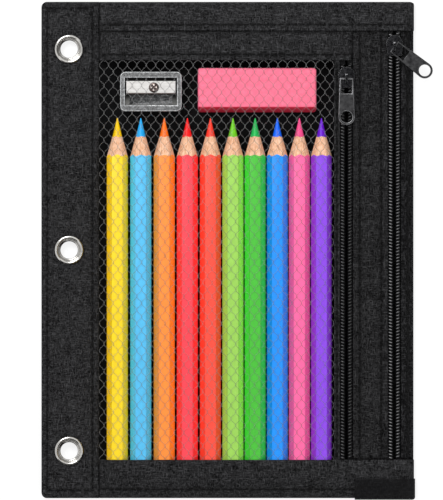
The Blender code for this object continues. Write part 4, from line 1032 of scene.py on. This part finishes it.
def build_eyelets(nickel):
    """Each eyelet: a rolled ring, a funnel down to the bore, and the end rolled over the washer."""
    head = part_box("spine_strip")[1].z + GAP
    neck = EYELET_BORE + EYELET_WALL
    for place in EYELETS:
        low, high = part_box("eyelet_" + place)
        centre = (*middle_of(low, high)[:2], 0.0)
        rim = (high.x - low.x) / 2
        radius = (rim - EYELET_BORE) * 0.29
        profile = []
        for step in range(ROLL_STEPS + 1):
            turn = math.radians(-20 + 200 * step / ROLL_STEPS)
            rise = (high.z - head) * max(0.0, math.sin(turn) * 0.9 + 0.1)
            profile.append((rim - radius + radius * math.cos(turn), head + rise))
        inner = profile[-1][0]
        for share, rise in FUNNEL:
            profile.append((between(inner, EYELET_BORE, share), between(head, high.z, rise)))
        profile += [
            (EYELET_BORE, low.z + BACK_ROLL_HEIGHT),
            (EYELET_BORE + EYELET_WALL * 0.3, low.z + BACK_ROLL_EASE),
            (neck, low.z),
            (neck + BACK_ROLL_FLAT, low.z),
            (neck + BACK_ROLL, low.z + BACK_ROLL_HEIGHT / 2),
            (neck + BACK_ROLL, low.z + BACK_ROLL_HEIGHT),
            (neck, low.z + BACK_ROLL_HEIGHT),
            (neck, head),
        ]
        shape = turned(profile, 64, centre)
        # Painted shade and dark reflections on the ring, in its crest values
        paint_eyelet_shade(shape, centre, inner, rim)
        node = "eyelet_" + place
        piece("ring_" + node, shape, [nickel], replaces=[node], smooth=50.0)
        softened(
            "eyelet_washer_" + place, "back_washer_" + place, WASHER_ROUND, [nickel]
        )


def paint_eyelet_shade(shape, centre, inner, rim):
    """Paint shade on an eyelet: a painted shadow in the crease under its roll, a painted dark reflection as
    a line on the roll, and painted shade in the funnel, darkest on its upper left.
    """
    crest = shape.verts.layers.float.new("crest")
    for vert in shape.verts:
        across, along = vert.co.x - centre[0], vert.co.y - centre[1]
        out = math.hypot(across, along)
        angle = math.atan2(along, across)
        crease = 0.85 * bell(out - inner + CREASE_INSET, CREASE_WIDTH)
        crease *= 0.6 + 0.4 * math.cos(angle - CREASE_TURN)
        line = 0.5 * bell(out - between(inner, rim, 0.5), LINE_WIDTH)
        line *= max(0.0, math.cos(2.0 * (angle - LINE_TURN)))
        funnel = 0.15 + 0.85 * max(0.0, math.cos(angle - CREASE_TURN)) ** 2
        funnel *= 1.0 - ease((out - inner + FUNNEL_EDGE) / FUNNEL_EDGE)
        vert[crest] = min(1.0, max(crease, line, funnel))


def ring_loft(rings):
    """A closed skin over rings of points, from the first ring to the last, with both ends filled."""
    shape = bmesh.new()
    for vert, step, ring in laid(shape, [*range(len(rings[0])), 0], rings):
        vert.co = ring[step]
    return closed(shape, MERGE / 4)


def build_pencils(wood):
    """Ten sharpened pencils: lacquered barrel, bare wood where the cone cuts it, and the core's point."""
    for number, (word, colours, core_colour) in enumerate(PENCILS):
        low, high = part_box("pencil_" + word)
        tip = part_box("pencil_lead_" + word)[1].y
        axis_x, _, axis_z = middle_of(low, high)
        flat_radius = (high.z - low.z) / 2
        corner_radius = (high.x - low.x) / 2

        def hexagon(angle):
            off = (angle % (math.pi / 3)) - math.pi / 6
            return min(flat_radius / math.cos(off), corner_radius * 0.985)

        def scallop(angle):
            waver = SCALLOP_WAVER * math.sin(5.0 * angle + number * 1.7)
            return tip - POINT_LENGTH - WOOD_LENGTH - SCALLOP / 2 * math.cos(6.0 * angle) + waver

        def core_edge(angle):
            return tip - POINT_LENGTH + CORE_WAVER * math.sin(4.0 * angle + number * 2.3)

        def ring(place, radius):
            points = []
            for step in range(PENCIL_STEPS):
                angle = math.tau * step / PENCIL_STEPS
                x = axis_x + radius(angle) * math.cos(angle)
                points.append((x, place(angle), axis_z + radius(angle) * math.sin(angle)))
            return points

        rings = [
            ring(lambda angle: low.y, lambda angle: hexagon(angle) * 0.94),
            ring(lambda angle: low.y + BARREL_ROUND, hexagon),
            ring(lambda angle: low.y + BARREL_RING, hexagon),
            ring(lambda angle: scallop(angle) - LACQUER_EDGE, hexagon),
        ]
        for share in (0.0, 0.25, 0.5, 0.75, 1.0):
            rings.append(ring(
                lambda angle: between(scallop(angle), core_edge(angle), share),
                lambda angle: between(hexagon(angle) * 0.99, POINT_RADIUS + WOOD_LIP, share),
            ))
        shape = ring_loft(rings)
        # The side values mark where the lacquer paints light on the side facets
        side = shape.verts.layers.float.new("side")
        for vert in shape.verts:
            away = (abs(vert.co.x - axis_x) - corner_radius / 2) / PAINTED_SIDE_BLEND
            vert[side] = min(1.0, max(0.0, away))
        for face in shape.faces:
            middle = face.calc_center_median()
            angle = math.atan2(middle.z - axis_z, middle.x - axis_x)
            face.material_index = 1 if middle.y > scallop(angle) else 0
        piece(
            word + "_pencil_barrel", shape, [lacquer(word, colours), wood],
            replaces=["pencil_" + word], smooth=25.0,
        )
        rings = []
        for share in (0.0, 0.3, 0.6, 0.85, 1.0):
            rings.append(ring(
                lambda angle: between(core_edge(angle) + CORE_GAP, tip - TIP_LENGTH, share),
                lambda angle: between(POINT_RADIUS, TIP_RADIUS, share),
            ))
        rings.append(ring(lambda angle: tip - TIP_ROUND, lambda angle: TIP_RADIUS * 0.75))
        rings.append(ring(lambda angle: tip, lambda angle: TIP_RADIUS * 0.35))
        core = mottled(
            "wax_core_" + word, tint(core_colour, (0.95, 1.0, 1.04)), 0.9, stretch=(1.0, 0.3, 1.0),
            relief=0.00004, Roughness=0.4, Specular_IOR_Level=0.25,
        )
        piece(
            word + "_pencil_core", ring_loft(rings), [core], replaces=["pencil_lead_" + word],
            smooth=60.0,
        )


def build_eraser(vinyl):
    """A block eraser with rounded edges and one slanting long side, left bare; a darker copy of the vinyl
    paints shade on the slanting side.
    """
    low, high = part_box("eraser")
    middle = (low + high) / 2
    shape = bmesh.new()
    bmesh.ops.create_cube(shape, size=1.0)
    bmesh.ops.scale(shape, verts=shape.verts, vec=high - low)
    bmesh.ops.translate(shape, verts=shape.verts, vec=middle)
    for vert in shape.verts:
        if vert.co.z > middle.z and vert.co.y < middle.y:
            vert.co.y += ERASER_SLANT
    bmesh.ops.subdivide_edges(shape, edges=shape.edges, cuts=3, use_grid_fill=True)
    edges = [edge for edge in shape.edges if edge.calc_face_angle(0.0) > math.radians(30.0)]
    bmesh.ops.bevel(
        shape, geom=edges, offset=ERASER_ROUND, offset_type="OFFSET", affect="EDGES", segments=5,
        profile=0.5, material=-1, clamp_overlap=True,
    )
    # Faces on the slanting side and just past it take the painted shade
    for face in shape.faces:
        centre = face.calc_center_median()
        edge = low.y + ERASER_SLANT * (centre.z - low.z) / (high.z - low.z) + ERASER_SHADE_REACH
        face.material_index = 1 if centre.y < edge else 0
    piece("block_eraser", shape, vinyl, replaces=["eraser"], smooth=50.0)


def build_blade(finishes):
    """The sharpener's blade, with its ground bevel along the lower edge."""
    low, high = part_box("sharpener_blade")
    outline = (
        (low.y, low.z), (low.y, low.z + BLADE_EDGE), (low.y + BLADE_BEVEL, high.z), (high.y, high.z),
        (high.y, low.z),
    )
    shape = bmesh.new()
    ends = [shape.verts.new((low.x, y, z)) for y, z in outline]
    side = bmesh.ops.contextual_create(shape, geom=ends)["faces"]
    moved = bmesh.ops.extrude_face_region(shape, geom=side)["geom"]
    bmesh.ops.translate(shape, verts=verts_in(moved), vec=(high.x - low.x, 0.0, 0.0))
    bmesh.ops.recalc_face_normals(shape, faces=shape.faces)
    for face in shape.faces:
        face.material_index = 1 if 0.2 < face.normal.z < 0.98 else 0
    piece(
        "sharpener_steel_blade", shape, [finishes["steel"], finishes["bevel"]],
        replaces=["sharpener_blade"], smooth=20.0,
    )


def build_screw(steel):
    """The blade's screw: a low dome with a cross slot."""
    low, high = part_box("sharpener_screw")
    centre = (low + high) / 2
    reach = (high.x - low.x) / 2
    shape = bmesh.new()
    crest = shape.verts.layers.float.new("crest")
    bmesh.ops.create_grid(shape, x_segments=SCREW_CELLS, y_segments=SCREW_CELLS, size=1.0)
    for vert in shape.verts:
        across, along = vert.co.x, vert.co.y
        x = across * math.sqrt(1.0 - along * along / 2)
        y = along * math.sqrt(1.0 - across * across / 2)
        out = math.hypot(x, y)
        dome = SCREW_HEAD * math.sqrt(max(0.0, 1.0 - (0.94 * out) ** 2))
        slot = min(abs(x + y), abs(x - y)) / math.sqrt(2.0)
        cut = SCREW_SLOT_DEPTH * (1.0 - ease((slot - 0.1) / 0.12)) * (1.0 - ease((out - 0.55) / 0.2))
        # Painted highlight along the slot's edges, kept off the dome's rim
        vert[crest] = ease((slot - 0.18) / 0.1) * (1.0 - ease((out - 0.5) / 0.15))
        vert.co = (centre.x + reach * x, centre.y + reach * y, high.z - SCREW_HEAD + dome - cut)
    rim = [edge for edge in shape.edges if edge.is_boundary]
    for vert in verts_in(bmesh.ops.extrude_edge_only(shape, edges=rim)["geom"]):
        vert.co.z = high.z - SCREW_HEAD - SCREW_SKIRT
    bmesh.ops.holes_fill(shape, edges=[edge for edge in shape.edges if edge.is_boundary], sides=0)
    bmesh.ops.recalc_face_normals(shape, faces=shape.faces)
    piece(
        "sharpener_blade_screw", shape, [steel], replaces=["sharpener_screw"],
        smooth=50.0,
    )


def build_sharpener(finishes):
    """The clear block, its blade with a ground bevel, and the cross-slotted screw."""
    low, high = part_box("sharpener_body")
    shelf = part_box("sharpener_blade")[0].z

    # The recess floor's faces take the painted shadow; the block's rounded top edges take the painted
    # highlight.
    def part_of_block(face):
        middle = face.calc_center_median()
        inside = low.x + BLOCK_WALL < middle.x < high.x - BLOCK_WALL
        inside = inside and low.y + BLOCK_END < middle.y < high.y - BLOCK_END
        floor = face.normal.z > 0.9 and shelf - SHELF_DEPTH < middle.z < shelf
        return 2 if inside and floor else face.material_index

    softened(
        "sharpener_body", "sharpener_block", BLOCK_ROUND,
        [finishes["clear"], finishes["clear_painted_highlight"], finishes["clear_painted_shadow"]],
        pick=part_of_block, above=high.z - BLOCK_TOP,
    )
    build_blade(finishes)
    build_screw(finishes["screw"])


def build_finishes():
    """Every finish, named for the real material."""
    return {
        # Heathered polyester canvas, plain woven: near black, with grey slubs both ways.
        # The real yarns are 0.4 mm apart; they are drawn at 0.62 mm, so that they show.
        "canvas": woven("heathered_polyester_canvas", "#030303", "#272728", "#525254"),
        # The same canvas in darker copies, painted shade: between the zips, and darker still at the right
        # edge
        "centre_band_painted_shade": woven("polyester_canvas_painted_shade_centre", "#020202", "#202021", "#484849"),
        "right_strip_painted_shade": woven("polyester_canvas_painted_shade_edge", "#010101", "#121213", "#464648"),
        # Black taffeta lining, finer and darker than the canvas
        "lining": woven("black_taffeta_lining", "#070708", "#0C0C0D", "#151516", slub_share=0.4),
        # Polyester zip tape, herringbone woven: flat black
        "tape": woven(
            "herringbone_zip_tape", "#0A0A0B", "#101011", "#1E1E1F", weave_pitch=0.8, specular=0.08
        ),
        # Satin-woven label tape, smoother and darker than the canvas
        "label": woven(
            "satin_label_tape", "#040405", "#121213", "#262628", weave_pitch=0.5, slub_share=0.6,
            roughness=0.6, specular=0.12,
        ),
        # Bonded nylon sewing thread: black, with a slight gloss
        "thread": mottled(
            "bonded_nylon_thread", ("#020202", "#0A0A0A"), 1.2, Roughness=0.6, Specular_IOR_Level=0.1
        ),
        # Knitted polyester net: dull grey-black thread, with a fibre fuzz that lifts it over black
        "net": mottled(
            "knitted_polyester_net", ("#828282", "#949494"), 0.8, Roughness=0.8,
            Specular_IOR_Level=0.1, Alpha=0.24,
        ),
        # Nylon monofilament coil: black, smooth and glossy, with a painted highlight in its crest colour
        "coil": mottled(
            "nylon_monofilament_coil", ("#040405", "#0A0A0B"), 1.0, crest="#D0D0D2", Roughness=0.3,
            Specular_IOR_Level=0.35,
        ),
        # Gunmetal-plated zinc casting, tumbled: near black, with a satin gloss
        "gunmetal": mottled(
            "gunmetal_plated_zinc", ("#0C0C0D", "#2C2C2E"), 0.8, relief=0.00004, Roughness=0.28,
            Metallic=1.0,
        ),
        # The same plating on the flat pulls, paler
        "pull": mottled(
            "gunmetal_plated_pull", ("#222223", "#474748"), 0.35, relief=0.00002, Roughness=0.36,
            Metallic=1.0,
        ),
        # The same plating along the edges, made bright: a painted highlight
        "gunmetal_painted_highlight": mottled(
            "bright_painted_highlight_gunmetal", ("#5E5E60", "#969698"), 0.7, Roughness=0.34, Metallic=0.6
        ),
        # A dimmer painted highlight along the edges, on the main pull
        "gunmetal_dim_painted_highlight": mottled(
            "dim_painted_highlight_gunmetal", ("#1C1C1D", "#505052"), 0.45, Roughness=0.36, Metallic=0.7
        ),
        # Nickel-plated brass, pressed and polished; its crest colour is painted shade and dark reflection
        "nickel": mottled(
            "nickel_plated_brass", ("#BAB8B4", "#D4D2CE"), 0.4, crest="#17120F", Roughness=0.13,
            Metallic=1.0,
        ),
        # Polypropylene strip inside the spine
        "strip": mottled("polypropylene_strip", ("#2C2C2C", "#3A3A3A"), 0.2, Roughness=0.5),
        # Basswood cut by the sharpener: pale, with fine grain along the pencil
        "wood": mottled(
            "sharpened_basswood", ("#C88E66", "#E8B592", "#F3CDB2"), 1.0, stretch=(1.6, 0.25, 1.6),
            relief=0.00005, Roughness=0.7, Specular_IOR_Level=0.2,
        ),
        # Pink vinyl eraser: matte, faintly mottled
        "vinyl": mottled(
            "pink_vinyl", ("#EA6884", "#FA7C97"), 0.5, relief=0.00004, Roughness=0.6,
            Specular_IOR_Level=0.25,
        ),
        # Its slanting side: a darker, deeper copy of the vinyl, painted shade
        "vinyl_painted_shade": mottled(
            "pink_vinyl_painted_shade", ("#B82338", "#CA3048"), 0.5, Roughness=0.6, Specular_IOR_Level=0.2
        ),
        # Clear polystyrene, moulded: see-through with a grey cast; its edges get a painted highlight
        "clear": mottled(
            "clear_polystyrene", ("#5C5D5E", "#8A8B8C", "#C8CACC"), 0.9, Roughness=0.12, IOR=1.59,
            Transmission_Weight=0.55, Specular_IOR_Level=0.6,
        ),
        # Its rounded edges, made bright: a painted highlight
        "clear_painted_highlight": mottled(
            "clear_polystyrene_painted_highlight", ("#8E9092", "#C4C6C8", "#F4F6F8"), 0.7, Roughness=0.12,
            IOR=1.59, Transmission_Weight=0.25, Specular_IOR_Level=0.8,
        ),
        # The same plastic on the recess floor, with a painted shadow: black round the blade, grey below it
        "clear_painted_shadow": shelf_painted_shadow(
            "clear_polystyrene_painted_shadow",
            ((0.0, "#6C6C6A"), (0.45, "#5A5A58"), (0.8, "#2E2E2D"), (1.0, "#050505")),
            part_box("sharpener_body")[0].y + SHELF_START,
            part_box("sharpener_blade")[0].y - SHELF_END,
        ),
        # Ground tool steel: bright, with fine lines along the blade
        "steel": mottled(
            "ground_tool_steel", ("#C4C1BE", "#E2E0DE"), 1.0, stretch=(0.2, 3.0, 1.0),
            relief=0.00001, Roughness=0.3, Metallic=1.0,
        ),
        # The blade's ground bevel, duller than its face
        "bevel": mottled("ground_bevel", ("#8A7E7A", "#A89C98"), 1.5, Roughness=0.4, Metallic=0.7),
        # Steel screw, browned by its heat treatment; its crest colour is a painted highlight along the
        # slot's edges
        "screw": mottled(
            "browned_steel_screw", ("#3E3431", "#6A5E5A"), 1.5, relief=0.00003, crest="#F0E4DE",
            Roughness=0.3, Metallic=1.0,
        ),
    }


def bridge_painted_highlight(prefix):
    """Which of a slider's faces take the painted highlight: its edges, and the top of its bridge."""
    low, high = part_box(prefix + "_slider")

    def part(face):
        middle = face.calc_center_median()
        # Upward faces on the top of the bridge's upper half take the painted highlight
        highlighted = face.normal.z > 0.3 and middle.z > high.z - BRIDGE_HIGHLIGHT_DEPTH and middle.y > (low.y + high.y) / 2
        return 1 if highlighted else face.material_index

    return part


def build_object():
    """Every piece of the pouch and what it holds."""
    finishes = build_finishes()
    build_bands(*(finishes[word] for word in ("canvas", "centre_band_painted_shade", "right_strip_painted_shade", "thread")))
    build_label(finishes["label"])
    build_walls(finishes["canvas"], finishes["lining"])
    build_spine(finishes["canvas"], finishes["thread"], finishes["strip"])
    build_net(finishes["net"])
    for prefix in ("front", "main"):
        build_zip(prefix, finishes["tape"], finishes["coil"])
    # Painted highlights: bright on the sliders' edges and bridge tops and on the front pull's edges, dim on
    # the main pull's edges.
    for prefix, edge in (("front", "gunmetal_painted_highlight"), ("main", "gunmetal_dim_painted_highlight")):
        softened(
            prefix + "_slider", prefix + "_zip_slider", SLIDER_ROUND,
            [finishes["gunmetal"], finishes["gunmetal_painted_highlight"]], body=prefix + "_slider",
            segments=2, pick=bridge_painted_highlight(prefix),
        )
        softened(
            prefix + "_pull", prefix + "_zip_pull", PULL_ROUND, [finishes["pull"], finishes[edge]],
            body=prefix + "_pull", segments=2,
        )
    build_eyelets(finishes["nickel"])
    build_pencils(finishes["wood"])
    build_eraser([finishes["vinyl"], finishes["vinyl_painted_shade"]])
    build_sharpener(finishes)


def show_to_sight(tree, output, light, sight):
    """Let one shader light the object, and show the other to the camera, to gloss and to glass."""
    path = add(tree, "ShaderNodeLightPath").outputs
    seen = path["Is Camera Ray"]
    for ray in ("Is Glossy Ray", "Is Transmission Ray"):
        seen = add(tree, "ShaderNodeMath", {0: seen, 1: path[ray]}, operation="MAXIMUM")
    mixed = add(tree, "ShaderNodeMixShader", {0: seen, 1: light, 2: sight})
    add(tree, output, {"Surface": mixed})


def build_floor():
    """A white floor that keeps the object's shadow."""
    shape = bmesh.new()
    bmesh.ops.create_grid(shape, x_segments=1, y_segments=1, size=FLOOR_HALF)
    floor = placed("white_floor", mesh_from(shape, "white_floor"))
    floor.location = (0.0, 0.0, -FLOOR_DROP)
    paper = bpy.data.materials.new("white_paper")
    paper.use_nodes = True
    tree = paper.node_tree
    tree.nodes.clear()
    glow = add(tree, "ShaderNodeEmission", {"Color": linear("#FFFFFF"), "Strength": FLOOR_GLOW})
    faint = add(tree, "ShaderNodeBsdfDiffuse", {"Color": FLOOR_SHADE})
    shown = add(tree, "ShaderNodeAddShader", {0: glow, 1: faint})
    plain = add(tree, "ShaderNodeBsdfDiffuse", {"Color": FLOOR_BOUNCE})
    show_to_sight(tree, "ShaderNodeOutputMaterial", plain, shown)
    floor.data.materials.append(paper)


def build_room():
    """Soft even light from all round, which the camera sees as white."""
    world = bpy.data.worlds.new("studio_room")
    bpy.context.scene.world = world
    world.use_nodes = True
    tree = world.node_tree
    tree.nodes.clear()
    room, white = (
        add(tree, "ShaderNodeBackground", {"Color": linear("#FFFFFF"), "Strength": strength})
        for strength in (ROOM_LIGHT, 1.0)
    )
    show_to_sight(tree, "ShaderNodeOutputWorld", room, white)


def build_screen():
    """A dark screen round the lower right, unseen, that the bright metal mirrors."""
    shape = bmesh.new()
    bmesh.ops.create_grid(shape, x_segments=32, y_segments=1, size=1.0)
    for vert in shape.verts:
        turn = between(SCREEN_START, SCREEN_END, (vert.co.x + 1.0) / 2)
        rise = SCREEN_HEIGHT if vert.co.y > 0.0 else SCREEN_FOOT
        vert.co = (SCREEN_REACH * math.cos(turn), SCREEN_REACH * math.sin(turn), rise)
    screen = placed("dark_screen", mesh_from(shape, "dark_screen"))
    screen.visible_camera = False
    screen.visible_shadow = False
    screen.visible_diffuse = False
    screen.visible_transmission = False
    # Black felt
    felt, _, _ = finish("black_felt", Base_Color="#050505", Roughness=1.0, Specular_IOR_Level=0.0)
    screen.data.materials.append(felt)


def build_stage():
    """A white floor, soft light, and the photograph's camera."""
    build_floor()
    build_room()
    build_screen()
    for name, place, size, power in SOFTBOXES:
        lamp = bpy.data.lights.new(name, "AREA")
        lamp.energy = power
        lamp.size = size
        holder = placed(name, lamp)
        holder.location = place
        holder.rotation_euler = (-Vector(place)).to_track_quat("-Z", "Y").to_euler()

    data = bpy.data.cameras.new("photo_camera")
    data.sensor_width = SENSOR
    data.lens = SENSOR * CAMERA_HEIGHT / (PHOTO_PIXELS[1] * PIXEL)
    data.clip_end = CAMERA_SIGHT
    camera = placed("photo_camera", data)
    camera.location = (*PHOTO_MIDDLE, CAMERA_HEIGHT + PHOTO_LEVEL)
    bpy.context.scene.camera = camera
    bpy.context.scene.view_settings.view_transform = "Standard"


build_object()
build_stage()
